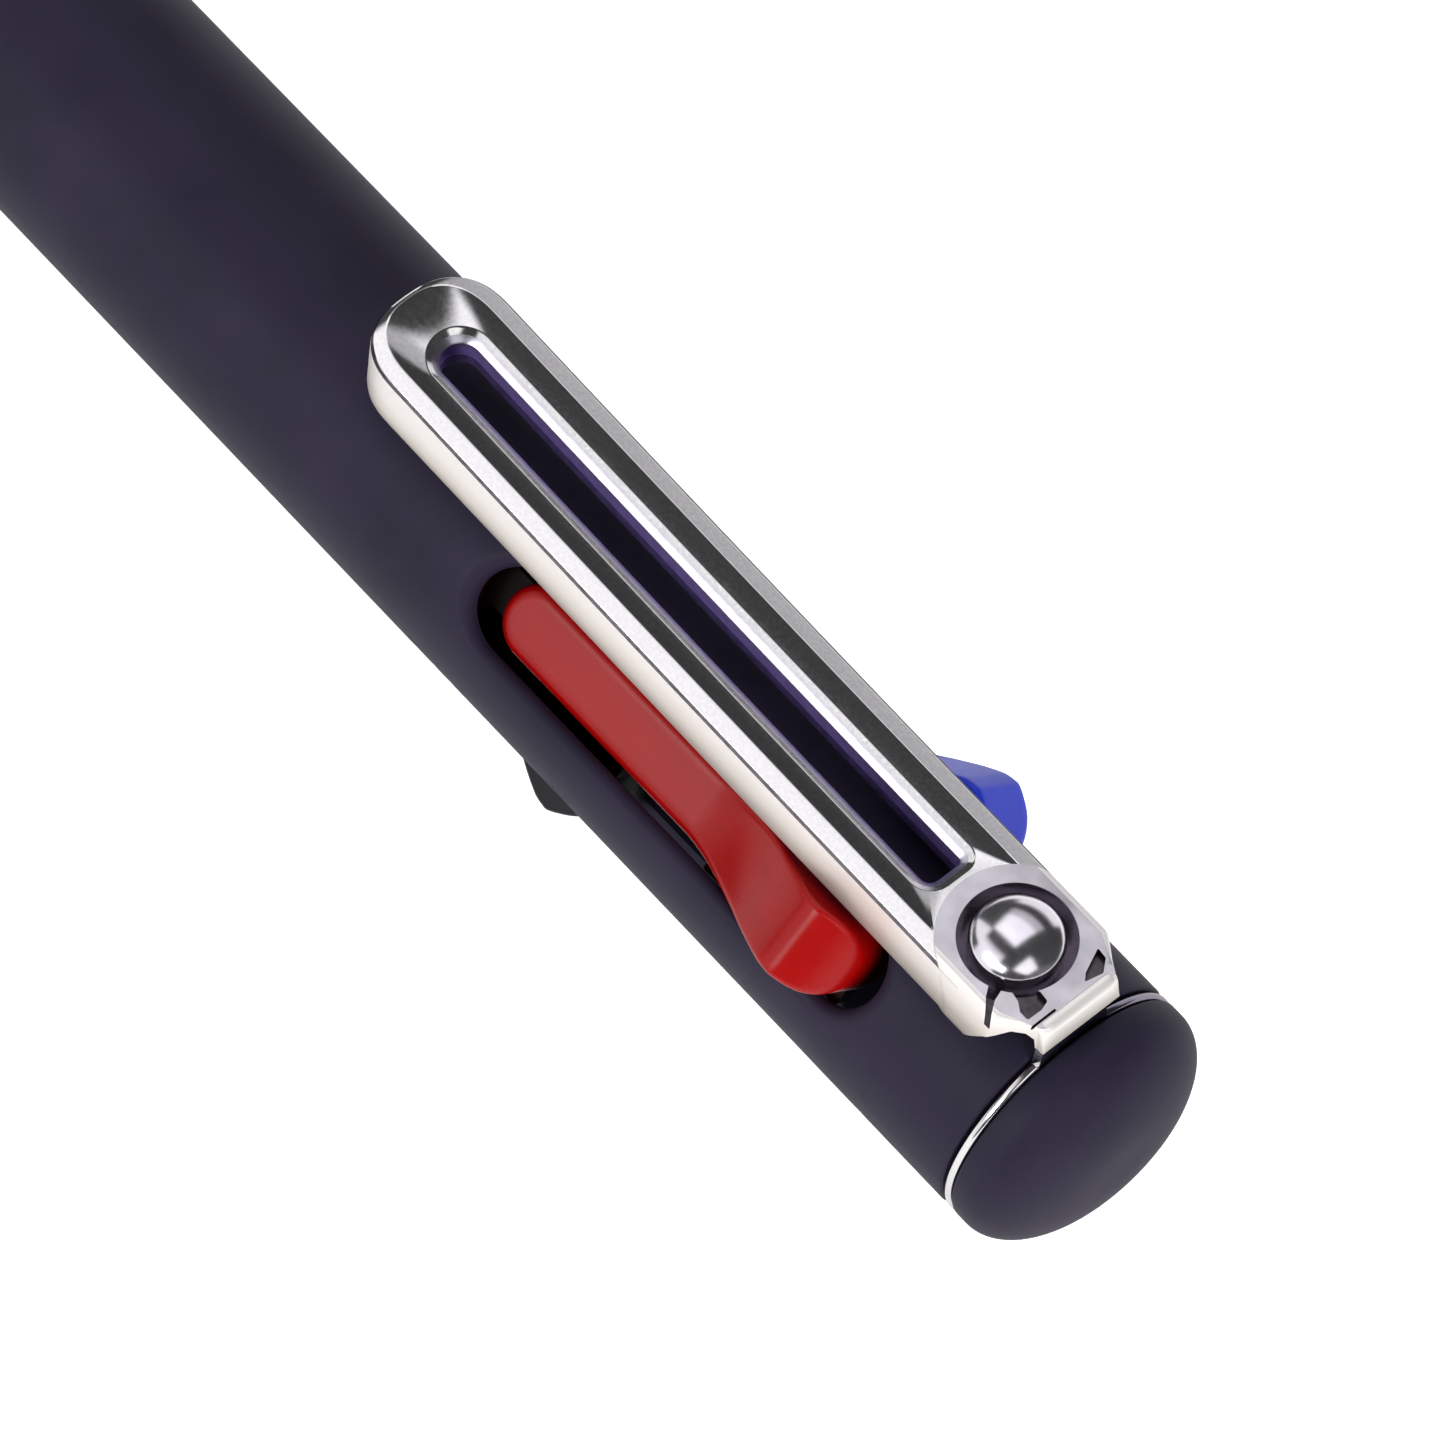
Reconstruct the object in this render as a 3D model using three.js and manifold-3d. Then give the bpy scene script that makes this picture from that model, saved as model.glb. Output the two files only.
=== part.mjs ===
// Four-colour slider ballpoint pen, in millimetres, +Z up.
// The pen lies along X with its end cap at +X and its clip on top. Every size along the pen is
// measured from the seam between barrel and end cap, and is negative towards the writing tip.
// "Height" is the distance from the pen's axis, "rise" the height above the barrel's surface, "half"
// a half width across it.
import * as THREE from "three";
import { mergeVertices } from "three/addons/utils/BufferGeometryUtils.js";
import Module from "manifold-3d";

const wasm = await Module();
wasm.setup();

// Fits
const SLIP = 0.1;
const FACE_GAP = 0.1;
const SEAM_GAP = 0.15;
const PLUG_SLIP = 0.05;

// Barrels
const BARREL_RADIUS = 6;
const BARREL_WALL = 0.8;
const UPPER_BARREL_END = -75;
const TRIM_RING_WIDTH = 1.4;
const TRIM_RING_PROUD = 0.12;
const LOWER_BARREL_LENGTH = 46;
const LOWER_BARREL_STRAIGHT = 24;
const LOWER_BARREL_TAPER = 0.6;
const LOWER_BARREL_TAPER_POWER = 1.6;
const LOWER_BARREL_WALL = 1.2;
const SLEEVE_WALL = 0.42;
const SLEEVE_HALF_LENGTH = 7;
const SLEEVE_SEAT_SLIP = 0.08;
const EDGE_ROUND = 0.15;

// Nose cone
const NOSE_LENGTH = 13.8;
const NOSE_FRONT_RADIUS = 2.2;
const NOSE_HOLE_SLIP = 0.2;
const NOSE_SPIGOT_LENGTH = 4.5;
const NOSE_SPIGOT_WALL = 0.75;
const NOSE_BULGE = 0.62;

// End cap, ring and what clamps them
const RING_THICKNESS = 0.4;
const RING_WIDTH = 1.7;
const EAR_RISE = 1.5;
const EAR_HALF = 1.6;
const EAR_FOOT_HALF = 1.9;
const CAP_LENGTH = 3.5;
const CAP_STRAIGHT = 0.7;
const CAP_CROWN_FLAT = 1.2;
const CAP_WALL = 1.1;
const CAP_RECESS_DEPTH = 1.9;
const INSERT_HEAD = 1.4;
const INSERT_REACH = 4.8;

// Inner frame behind and between the sliders
const FRAME_CUP_WALL = 0.75;
const FRAME_FRONT = -6.7;
const FRAME_FLOOR = 1.5;
const POST_END = -29.8;
const COLLAR_SLIP = 0.14;
const COLLAR_RISE = 0.31;
const COLLAR_FRONT = -21.8;
const COLLAR_LENGTH = 3.3;

// Barrel slots, one for each slider
const SLOT_TIP_END = -31.35;
const SLOT_CAP_END = -7.05;
const SLOT_HALF = 2;
const SLOT_RIM_CHAMFER = 0.35;

// Sliders
const TRAVEL = 14.3;
const SLIDER_ANGLES = { red: 45, blue: -45, black: 135, green: -135 };
const STRIP_SUNK = 1.25;
const STRIP_THICKNESS = 1.35;
const STRIP_HALF = 1.4;
const STRIP_FRONT = -30.5;
const THUMB_HALF = 1.75;
const THUMB_REAR = -8.1;
const THUMB_RAMP_START = -17.6;
const THUMB_CREST = -10.9;
const THUMB_RISE = 1.78;
const THUMB_BACK = [[0.33, 0.05], [0.62, 0.22], [0.85, 0.5], [1, 0.9]];
const SCOOP_LEAD = 2.1;
const SCOOP_EASE = 1.5;
const BODY_DEPTH = 2.15;
const KEEL_HALF = 1.1;
const FLANGE_HALF = 2.2;
const FLANGE_SUNK = 0.9;
const FLANGE_THICKNESS = 0.8;
const FLANGE_LEAD = 1;
const SHOULDER_THICKNESS = 0.8;
const SHOULDER_NECK = 1.1;
const SHOULDER_APART = 0.25;
const SHOULDER_CORNER = 0.6;
const SHOULDER_SIDE_RISE = 1.2;
const PEG_RADIUS = 0.6;
const PEG_LENGTH = 4;

// Refills: a straight tube, then a nose that lies along the slider's own travel
const REFILL_RADIUS = 1;
const REFILL_BORE = 0.65;
const REFILL_INSET = 1.55;
const TIP_OUT = 3;
const TIP_OFFSET_OUT = 0.75;
const TIP_LENGTH = 10;
const TIP_NOZZLE_RADIUS = 0.42;
const TIP_NOZZLE_LENGTH = 3;
const TIP_CONE_LENGTH = 2;
const TIP_CONE_STEP = 0.14;
const TIP_BODY_SHARE = 0.6;
const TIP_BALL_RADIUS = 0.3;
const TIP_PLUG_LENGTH = 4;

// Return springs and the plate that they push against
const GUIDE_PLATE_REAR = -57.6;
const GUIDE_PLATE_THICKNESS = 2.5;
const GUIDE_HOLE_SLIP = 0.15;
const SPRING_WIRE = 0.28;
const SPRING_SLIP = 0.05;
const SPRING_TURNS = 10;
const SPRING_COIL_GAP_LEAST = 0.4;
const SPRING_APART = 0.624;

// Clip: a hollow channel with a long slot, a round boss and a neck down to the ring
const CLIP_TIP = -41.05;
const CLIP_HALF = 3;
const CLIP_TIP_ROUND = 3.05;
const CLIP_TIP_SQUARENESS = 2.5;
const CLIP_ROOT_RISE = 2.93;
const CLIP_LEAN = 1;
const CLIP_LEAN_AT = 37.3;
const CLIP_LEAN_POWER = 1.9;
const CLIP_WALL_SLIP = 0.05;
const CLIP_WALL_LIFT = 0.5;
const CLIP_WALL_LIFT_POWER = 3;
const CLIP_WALL = 0.65;
const CLIP_PLATE_DEPTH = 0.95;
const RIDGE_INSET = 0.68;
const RIDGE_RISE = 0.12;
const RIDGE_TIP_INSET = 0.3;
const WINDOW_HALF = 0.9;
const WINDOW_TIP = -38.3;
const WINDOW_REAR = -7.65;
const WINDOW_CHAMFER = 0.45;
const WINDOW_CHAMFER_DROP = 0.3;
const WINDOW_TOP_DROP = 0.06;
const BOSS_CENTRE = -3.45;
const BOSS_RADIUS = 3.3;
const BOSS_RISE = 3.25;
const BOSS_RECESS_RADIUS = 2.45;
const BOSS_RECESS_DEPTH = 1.15;
const RIVET_DOME_RADIUS = 1.97;
const RIVET_DOME_RISE = 0.05;
const RIVET_DOME_HEIGHT = 0.95;
const RIVET_SHANK_RADIUS = 0.9;
const NECK_HALF = 1.9;
const NECK_RISE = 2.95;
const NECK_CORNER = 0.3;
const NECK_FLANK = 1.95;
const NECK_REACH = 0.4;
const ARCH_REAR = 0.05;
const ARCH_FRONT = -2.85;
const ARCH_PLATE = 0.45;
const ARCH_CORNER = 0.25;
const ARCH_CROWN = 0.7;
const ROLL_RADIUS = 0.5;
const ROLL_RISE = 3.1;
const CLIP_LIFT = 0.15;
const PAD_RADIUS = 0.9;

// How finely round things are divided
const BARREL_SIDES = 40;
const BOSS_SIDES = 24;
const SMALL_SIDES = 12;
const ARC_STEPS = 6;
const COIL_STEPS = 8;
const WIRE_SIDES = 5;

// Sizes that follow from the ones above
const BARREL_BORE = BARREL_RADIUS - BARREL_WALL;
const LOWER_BARREL_FRONT_RADIUS = BARREL_RADIUS - LOWER_BARREL_TAPER;
const LOWER_BARREL_BORE = BARREL_RADIUS - LOWER_BARREL_WALL;
const RING_BORE = BARREL_RADIUS - RING_WIDTH;
const EAR_HEIGHT = BARREL_RADIUS + EAR_RISE;
const CAP_RECESS_RADIUS = BARREL_RADIUS - CAP_WALL;
const REFILL_OFFSET = BARREL_BORE - REFILL_INSET;
const STRIP_HEIGHT = BARREL_RADIUS - STRIP_SUNK;
const STRIP_BOTTOM = STRIP_HEIGHT - STRIP_THICKNESS;
const THUMB_HEIGHT = BARREL_RADIUS + THUMB_RISE;
const BODY_BOTTOM = STRIP_HEIGHT - BODY_DEPTH;
const FLANGE_TOP = BARREL_BORE - FLANGE_SUNK;
const FLANGE_BOTTOM = FLANGE_TOP - FLANGE_THICKNESS;
const CLIP_FOOT = BARREL_RADIUS + CLIP_LIFT;
const CLIP_ROOT_HEIGHT = BARREL_RADIUS + CLIP_ROOT_RISE;
const CLIP_WALL_BOTTOM = BARREL_RADIUS + CLIP_WALL_SLIP;
const BOSS_HEIGHT = BARREL_RADIUS + BOSS_RISE;
const NECK_TOP = BARREL_RADIUS + NECK_RISE;
const NECK_BOTTOM = EAR_HEIGHT + FACE_GAP;
const ARCH_TOP = NECK_TOP - ARCH_PLATE;
const ROLL_TOP = BARREL_RADIUS + ROLL_RISE;

// A slider drops towards the axis as it goes forwards, by what the room between two neighbouring
// springs allows: each spring is wide enough for its refill's straight and dropped places
const SPRING_CORE = REFILL_RADIUS + SPRING_SLIP + SPRING_WIRE;
const DIP = (Math.SQRT2 * REFILL_OFFSET - 2 * SPRING_CORE - SPRING_APART) / (1 + Math.SQRT1_2);
const COLLAR_HALF = BODY_BOTTOM - DIP - COLLAR_SLIP;
const POST_HALF = COLLAR_HALF - COLLAR_RISE;

// Places along the pen
const RING_HALF = RING_THICKNESS / 2;
const UPPER_BARREL_START = -(RING_HALF + SEAM_GAP);
const TRIM_REAR = UPPER_BARREL_END - FACE_GAP;
const TRIM_FRONT = TRIM_REAR - TRIM_RING_WIDTH;
const LOWER_REAR = TRIM_FRONT - FACE_GAP;
const LOWER_FRONT = LOWER_REAR - LOWER_BARREL_LENGTH;
const NOSE_REAR = LOWER_FRONT - FACE_GAP;
const NOSE_FRONT = NOSE_REAR - NOSE_LENGTH;
const TIP_END_OUT = NOSE_FRONT - TIP_OUT;
const TIP_END_IN = TIP_END_OUT + TRAVEL;
const TIP_OFFSET_IN = TIP_OFFSET_OUT + DIP;
const SLOPE = DIP / TRAVEL;
const SLOPE_ANGLE = Math.atan(SLOPE);
const BEND = TIP_END_IN + (REFILL_OFFSET - TIP_OFFSET_IN) / SLOPE;
const SHOULDER_FRONT = STRIP_FRONT - SHOULDER_NECK - SHOULDER_THICKNESS;
const TUBE_REAR = SHOULDER_FRONT - FACE_GAP;
const CAP_START = RING_HALF + PLUG_SLIP;
const SPRING_RADIUS = REFILL_RADIUS + DIP / 2 + SPRING_SLIP + SPRING_WIRE / 2;
const SPRING_OFFSET = REFILL_OFFSET - DIP / 2;
const NOSE_SPIGOT_RADIUS = LOWER_BARREL_FRONT_RADIUS - BARREL_WALL - SLIP;
const refillOffsetOut = (along) => TIP_OFFSET_OUT + SLOPE * (along - TIP_END_OUT);
const NOSE_HOLE = refillOffsetOut(NOSE_FRONT) + TIP_NOZZLE_RADIUS + NOSE_HOLE_SLIP;

const COLOURS = {
  casing: [0x342f42, 0.55, 0],
  chrome: [0xd8d8dc, 0.12, 1],
  brass: [0xb08d4a, 0.35, 1],
  frame: [0xd9d7d0, 0.5, 0],
  steel: [0xa8abb0, 0.3, 1],
  black: [0x202022, 0.4, 0],
  red: [0xb01f1c, 0.4, 0],
  blue: [0x2f3a9c, 0.4, 0],
  green: [0x1f7a3c, 0.4, 0],
};

// Geometry helpers

function closedGeometry(geometry) {
  geometry.deleteAttribute("normal");
  geometry.deleteAttribute("uv");
  return mergeVertices(geometry, 1e-4);
}

function signedVolume(positions, triangles) {
  const corner = (i) => new THREE.Vector3().fromArray(positions, 3 * triangles[i]);
  let volume = 0;
  for (let i = 0; i < triangles.length; i += 3) {
    volume += corner(i).dot(corner(i + 1).cross(corner(i + 2))) / 6;
  }
  return volume;
}

// A closed geometry as a solid whose faces point outwards
function solid(geometry) {
  const merged = closedGeometry(geometry);
  const vertProperties = new Float32Array(merged.attributes.position.array);
  const triVerts = new Uint32Array(merged.index.array);
  if (signedVolume(vertProperties, triVerts) < 0) {
    for (let i = 0; i < triVerts.length; i += 3) {
      [triVerts[i], triVerts[i + 1]] = [triVerts[i + 1], triVerts[i]];
    }
  }
  return new wasm.Manifold(new wasm.Mesh({ numProp: 3, vertProperties, triVerts }));
}

function geometryOf(body) {
  const mesh = body.getMesh();
  const geometry = new THREE.BufferGeometry();
  geometry.setAttribute("position", new THREE.BufferAttribute(mesh.vertProperties, 3));
  geometry.setIndex(new THREE.BufferAttribute(mesh.triVerts, 1));
  geometry.computeVertexNormals();
  return geometry;
}

// Turns a closed profile of [along, radius] pairs round the pen's axis
function turned(profile, sides = BARREL_SIDES) {
  const points = profile.map(([along, radius]) => new THREE.Vector2(radius, along));
  if (profile[0][1] > 0) points.push(points[0].clone());
  return solid(new THREE.LatheGeometry(points, sides).rotateZ(-Math.PI / 2));
}

// The same round an upright axis at [along, 0], from [radius, height] pairs
function turnedUpright(profile, along, sides = BOSS_SIDES) {
  const points = profile.map(([radius, height]) => new THREE.Vector2(radius, height));
  if (profile[0][0] > 0) points.push(points[0].clone());
  const geometry = new THREE.LatheGeometry(points, sides).rotateX(Math.PI / 2);
  return solid(geometry.translate(along, 0, 0));
}

function shapeOf(outline) {
  return new THREE.Shape(outline.map(([x, y]) => new THREE.Vector2(x, y)));
}

// An outline seen from above, [along, across], raised from one height to another
function raised(outline, bottom, top) {
  const depth = top - bottom;
  const geometry = new THREE.ExtrudeGeometry(shapeOf(outline), { depth, bevelEnabled: false });
  return solid(geometry.translate(0, 0, bottom));
}

// An outline seen from the side, [along, height], as wide as twice half
function sideways(outline, half) {
  const geometry = new THREE.ExtrudeGeometry(shapeOf(outline), { depth: 2 * half, bevelEnabled: false });
  return solid(geometry.rotateX(Math.PI / 2).translate(0, half, 0));
}

// An outline seen along the pen, [across, height], from one place along it to another
function lengthways(outline, from, to) {
  const depth = to - from;
  const geometry = new THREE.ExtrudeGeometry(shapeOf(outline), { depth, bevelEnabled: false });
  geometry.applyMatrix4(new THREE.Matrix4().set(0, 0, 1, from, 1, 0, 0, 0, 0, 1, 0, 0, 0, 0, 0, 1));
  return solid(geometry);
}

function block(from, to, half, bottom, top) {
  return lengthways([[-half, bottom], [half, bottom], [half, top], [-half, top]], from, to);
}

// An outline with both ends round
function obround(from, to, half, steps = ARC_STEPS) {
  const points = [];
  for (const [centre, start] of [[to - half, -Math.PI / 2], [from + half, Math.PI / 2]]) {
    for (let i = 0; i <= steps; i += 1) {
      const angle = start + (Math.PI * i) / steps;
      points.push([centre + half * Math.cos(angle), half * Math.sin(angle)]);
    }
  }
  return points;
}

// A solid between two outlines with as many points, at two heights
function lofted(lower, bottom, upper, top) {
  const count = lower.length;
  const at = (outline, height) => outline.map(([x, y]) => [x, y, height]);
  const middle = (height) => [(lower[0][0] + lower[count >> 1][0]) / 2, 0, height];
  const points = [...at(lower, bottom), ...at(upper, top), middle(bottom), middle(top)];
  const faces = [];
  for (let i = 0; i < count; i += 1) {
    const next = (i + 1) % count;
    faces.push(i, next, count + next, i, count + next, count + i);
    faces.push(next, i, 2 * count, count + i, count + next, 2 * count + 1);
  }
  return fromFaces(points, faces);
}

function fromFaces(points, faces) {
  const geometry = new THREE.BufferGeometry();
  geometry.setAttribute("position", new THREE.Float32BufferAttribute(points.flat(), 3));
  geometry.setIndex(faces);
  return solid(geometry);
}

// Loops with as many points each, joined in order and the last to the first
function joinedLoops(loops) {
  const count = loops[0].length;
  const faces = [];
  for (let row = 0; row < loops.length; row += 1) {
    const here = row * count;
    const there = ((row + 1) % loops.length) * count;
    for (let i = 0; i < count; i += 1) {
      const next = (i + 1) % count;
      faces.push(here + i, here + next, there + next, here + i, there + next, there + i);
    }
  }
  return fromFaces(loops.flat(), faces);
}

function moved(body, x, y, z) {
  return body.translate([x, y, z]);
}

function turnedAbout(body, axis, degrees) {
  return body.rotate([axis === "x" ? degrees : 0, axis === "y" ? degrees : 0, 0]);
}

// Scene helpers

function material(name) {
  const [color, roughness, metalness] = COLOURS[name];
  return new THREE.MeshStandardMaterial({ color, roughness, metalness });
}

function piece(parent, name, body, finish) {
  const mesh = new THREE.Mesh(geometryOf(body), material(finish));
  mesh.name = name;
  parent.add(mesh);
}

// Casing

function upperBarrel() {
  const seat = BARREL_BORE + SLIP;
  const seatEnd = UPPER_BARREL_END + SLEEVE_HALF_LENGTH + FACE_GAP;
  let body = turned([
    [UPPER_BARREL_START, BARREL_BORE],
    [UPPER_BARREL_START, BARREL_RADIUS - EDGE_ROUND],
    [UPPER_BARREL_START - EDGE_ROUND, BARREL_RADIUS],
    [UPPER_BARREL_END + EDGE_ROUND, BARREL_RADIUS],
    [UPPER_BARREL_END, BARREL_RADIUS - EDGE_ROUND],
    [UPPER_BARREL_END, seat],
    [seatEnd, seat],
    [seatEnd, BARREL_BORE],
  ]);
  const slot = obround(SLOT_TIP_END, SLOT_CAP_END, SLOT_HALF);
  const flare = (rise) => obround(SLOT_TIP_END - rise, SLOT_CAP_END + rise, SLOT_HALF + rise);
  const rimTop = BARREL_RADIUS + SLOT_RIM_CHAMFER;
  const rimFoot = BARREL_RADIUS - 2 * SLOT_RIM_CHAMFER;
  const cutter = raised(slot, BARREL_BORE / 2, rimTop).add(
    lofted(slot, rimFoot, flare(rimTop - rimFoot), rimTop),
  );
  for (const angle of Object.values(SLIDER_ANGLES)) {
    body = body.subtract(turnedAbout(cutter, "x", angle));
  }
  return body;
}

function trimRing() {
  const radius = BARREL_RADIUS + TRIM_RING_PROUD;
  return turned([
    [TRIM_REAR, BARREL_BORE + SLIP],
    [TRIM_REAR, radius - EDGE_ROUND],
    [TRIM_REAR - EDGE_ROUND, radius],
    [TRIM_FRONT + EDGE_ROUND, radius],
    [TRIM_FRONT, radius - EDGE_ROUND],
    [TRIM_FRONT, BARREL_BORE + SLIP],
  ]);
}

function jointSleeve() {
  const middle = (TRIM_REAR + TRIM_FRONT) / 2;
  const radius = BARREL_BORE + SLIP - SLEEVE_SEAT_SLIP;
  return turned([
    [middle + SLEEVE_HALF_LENGTH, radius - SLEEVE_WALL],
    [middle + SLEEVE_HALF_LENGTH, radius],
    [middle - SLEEVE_HALF_LENGTH, radius],
    [middle - SLEEVE_HALF_LENGTH, radius - SLEEVE_WALL],
  ]);
}

function lowerBarrel() {
  const seat = BARREL_BORE + SLIP;
  const seatEnd = (TRIM_REAR + TRIM_FRONT) / 2 - SLEEVE_HALF_LENGTH - FACE_GAP;
  const spigotSeat = NOSE_SPIGOT_RADIUS + SLIP;
  const spigotEnd = LOWER_FRONT + NOSE_SPIGOT_LENGTH + FACE_GAP;
  const taperStart = LOWER_REAR - LOWER_BARREL_STRAIGHT;
  const outer = [];
  for (let i = 0; i <= ARC_STEPS; i += 1) {
    const share = i / ARC_STEPS;
    const along = taperStart + (LOWER_FRONT - taperStart) * share;
    outer.push([along, BARREL_RADIUS - LOWER_BARREL_TAPER * share ** LOWER_BARREL_TAPER_POWER]);
  }
  return turned([
    [LOWER_REAR, seat],
    [LOWER_REAR, BARREL_RADIUS - EDGE_ROUND],
    [LOWER_REAR - EDGE_ROUND, BARREL_RADIUS],
    ...outer,
    [LOWER_FRONT, spigotSeat],
    [spigotEnd, spigotSeat],
    [spigotEnd + (LOWER_BARREL_BORE - spigotSeat), LOWER_BARREL_BORE],
    [seatEnd, LOWER_BARREL_BORE],
    [seatEnd, seat],
  ]);
}

function noseCone() {
  // The bore clears all four refills, which run side by side towards the hole
  const inner = NOSE_SPIGOT_RADIUS - NOSE_SPIGOT_WALL;
  const shoulder = TIP_END_OUT + TIP_LENGTH - NOSE_HOLE_SLIP;
  const throat = refillOffsetOut(shoulder) + REFILL_RADIUS + NOSE_HOLE_SLIP;
  const outer = [];
  for (let i = 0; i <= ARC_STEPS; i += 1) {
    const share = i / ARC_STEPS;
    const along = NOSE_REAR - NOSE_LENGTH * share;
    const swell = NOSE_BULGE * Math.sin(Math.PI * share);
    const straight = LOWER_BARREL_FRONT_RADIUS + (NOSE_FRONT_RADIUS - LOWER_BARREL_FRONT_RADIUS) * share;
    outer.push([along, straight + swell]);
  }
  return turned([
    [NOSE_REAR + NOSE_SPIGOT_LENGTH, inner],
    [NOSE_REAR + NOSE_SPIGOT_LENGTH, NOSE_SPIGOT_RADIUS],
    [NOSE_REAR, NOSE_SPIGOT_RADIUS],
    ...outer,
    [NOSE_FRONT, NOSE_HOLE],
    [shoulder, throat],
  ]);
}

// End cap, ring, insert and inner frame

function endCap() {
  const apex = CAP_START + CAP_LENGTH;
  const domeStart = CAP_START + CAP_STRAIGHT;
  const dome = [];
  for (let i = 0; i <= ARC_STEPS; i += 1) {
    const angle = (Math.PI / 2) * (1 - i / ARC_STEPS);
    const radius = CAP_CROWN_FLAT + (BARREL_RADIUS - CAP_CROWN_FLAT) * Math.cos(angle);
    dome.push([domeStart + (apex - domeStart) * Math.sin(angle), radius]);
  }
  return turned([
    [apex, 0],
    ...dome,
    [CAP_START + EDGE_ROUND, BARREL_RADIUS],
    [CAP_START, BARREL_RADIUS - EDGE_ROUND],
    [CAP_START, CAP_RECESS_RADIUS],
    [CAP_START + CAP_RECESS_DEPTH, CAP_RECESS_RADIUS],
    [CAP_START + CAP_RECESS_DEPTH, 0],
  ]);
}

function clipRing() {
  const ring = turned([
    [RING_HALF, RING_BORE],
    [RING_HALF, BARREL_RADIUS],
    [-RING_HALF, BARREL_RADIUS],
    [-RING_HALF, RING_BORE],
  ]);
  const foot = (RING_BORE + BARREL_RADIUS) / 2;
  const ear = lengthways(
    [[-EAR_FOOT_HALF, foot], [EAR_FOOT_HALF, foot], [EAR_HALF, EAR_HEIGHT], [-EAR_HALF, EAR_HEIGHT]],
    -RING_HALF,
    RING_HALF,
  );
  return ring.add(ear);
}

function capInsert() {
  const shank = RING_BORE - SLIP;
  return turned([
    [CAP_START + INSERT_HEAD, 0],
    [CAP_START + INSERT_HEAD, CAP_RECESS_RADIUS - SLIP],
    [CAP_START, CAP_RECESS_RADIUS - SLIP],
    [CAP_START, shank],
    [CAP_START - INSERT_REACH, shank],
    [CAP_START - INSERT_REACH, 0],
  ]);
}

function innerFrame() {
  const outer = BARREL_BORE - SLIP;
  const cup = turned([
    [FRAME_FRONT, 0],
    [FRAME_FRONT, outer],
    [UPPER_BARREL_START, outer],
    [UPPER_BARREL_START, outer - FRAME_CUP_WALL],
    [FRAME_FRONT + FRAME_FLOOR, outer - FRAME_CUP_WALL],
    [FRAME_FRONT + FRAME_FLOOR, 0],
  ]);
  const post = block(POST_END, FRAME_FRONT + FRAME_FLOOR / 2, POST_HALF, -POST_HALF, POST_HALF);
  const collarRear = COLLAR_FRONT + COLLAR_LENGTH;
  const collar = block(COLLAR_FRONT, collarRear, COLLAR_HALF, -COLLAR_HALF, COLLAR_HALF);
  return cup.add(turnedAbout(post.add(collar), "x", 45));
}

function guidePlate() {
  const front = GUIDE_PLATE_REAR - GUIDE_PLATE_THICKNESS;
  const outer = BARREL_BORE - SLIP;
  let body = turned([
    [GUIDE_PLATE_REAR, 0],
    [GUIDE_PLATE_REAR, outer],
    [front, outer],
    [front, 0],
  ]);
  const radius = REFILL_RADIUS + GUIDE_HOLE_SLIP;
  const inner = REFILL_OFFSET - DIP - radius;
  const hole = obround(inner, REFILL_OFFSET + radius, radius).map(([height, across]) => [across, height]);
  const cutter = lengthways(hole.reverse(), front - 1, GUIDE_PLATE_REAR + 1);
  for (const angle of Object.values(SLIDER_ANGLES)) {
    body = body.subtract(turnedAbout(cutter, "x", angle));
  }
  return body;
}

// One colour: slider, refill tube and refill tip, drawn where they lie when drawn back

function sliderBody() {
  // The thumb's ramp is a scoop that starts level and steepens, then rounds over at the crest
  const side = [[STRIP_FRONT, STRIP_BOTTOM], [STRIP_FRONT, STRIP_HEIGHT], [THUMB_RAMP_START, STRIP_HEIGHT]];
  for (let i = 1; i <= ARC_STEPS; i += 1) {
    const share = i / ARC_STEPS;
    const rise = share ** 2 * (SCOOP_LEAD - (SCOOP_LEAD - 1) * share ** SCOOP_EASE);
    const along = THUMB_RAMP_START + (THUMB_CREST - THUMB_RAMP_START) * share;
    side.push([along, STRIP_HEIGHT + (THUMB_HEIGHT - STRIP_HEIGHT) * Math.min(rise, 1)]);
  }
  const back = THUMB_REAR - THUMB_CREST;
  const drop = THUMB_HEIGHT - STRIP_HEIGHT;
  for (const [share, fall] of THUMB_BACK) side.push([THUMB_CREST + share * back, THUMB_HEIGHT - fall * drop]);
  side.push([THUMB_REAR, STRIP_BOTTOM]);

  const widening = (THUMB_RAMP_START + THUMB_CREST) / 2;
  const strip = obround(STRIP_FRONT, widening, STRIP_HALF);
  const thumb = obround(widening - 2 * THUMB_HALF, THUMB_REAR, THUMB_HALF);
  const plan = raised(strip, STRIP_BOTTOM - 1, THUMB_HEIGHT + 1)
    .add(raised(thumb, STRIP_BOTTOM - 1, THUMB_HEIGHT + 1));
  const top = sideways(side, THUMB_HALF + 1).intersect(plan);

  const keelFront = STRIP_FRONT + STRIP_HALF / 2;
  const keelRear = THUMB_REAR - THUMB_HALF / 2;
  const keel = block(keelFront, keelRear, KEEL_HALF, BODY_BOTTOM, STRIP_BOTTOM + FLANGE_THICKNESS / 4);
  const flangeFront = THUMB_RAMP_START + FLANGE_LEAD;
  const flange = block(flangeFront, keelRear, FLANGE_HALF, FLANGE_BOTTOM, FLANGE_TOP);
  return top.add(keel).add(flange);
}

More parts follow.
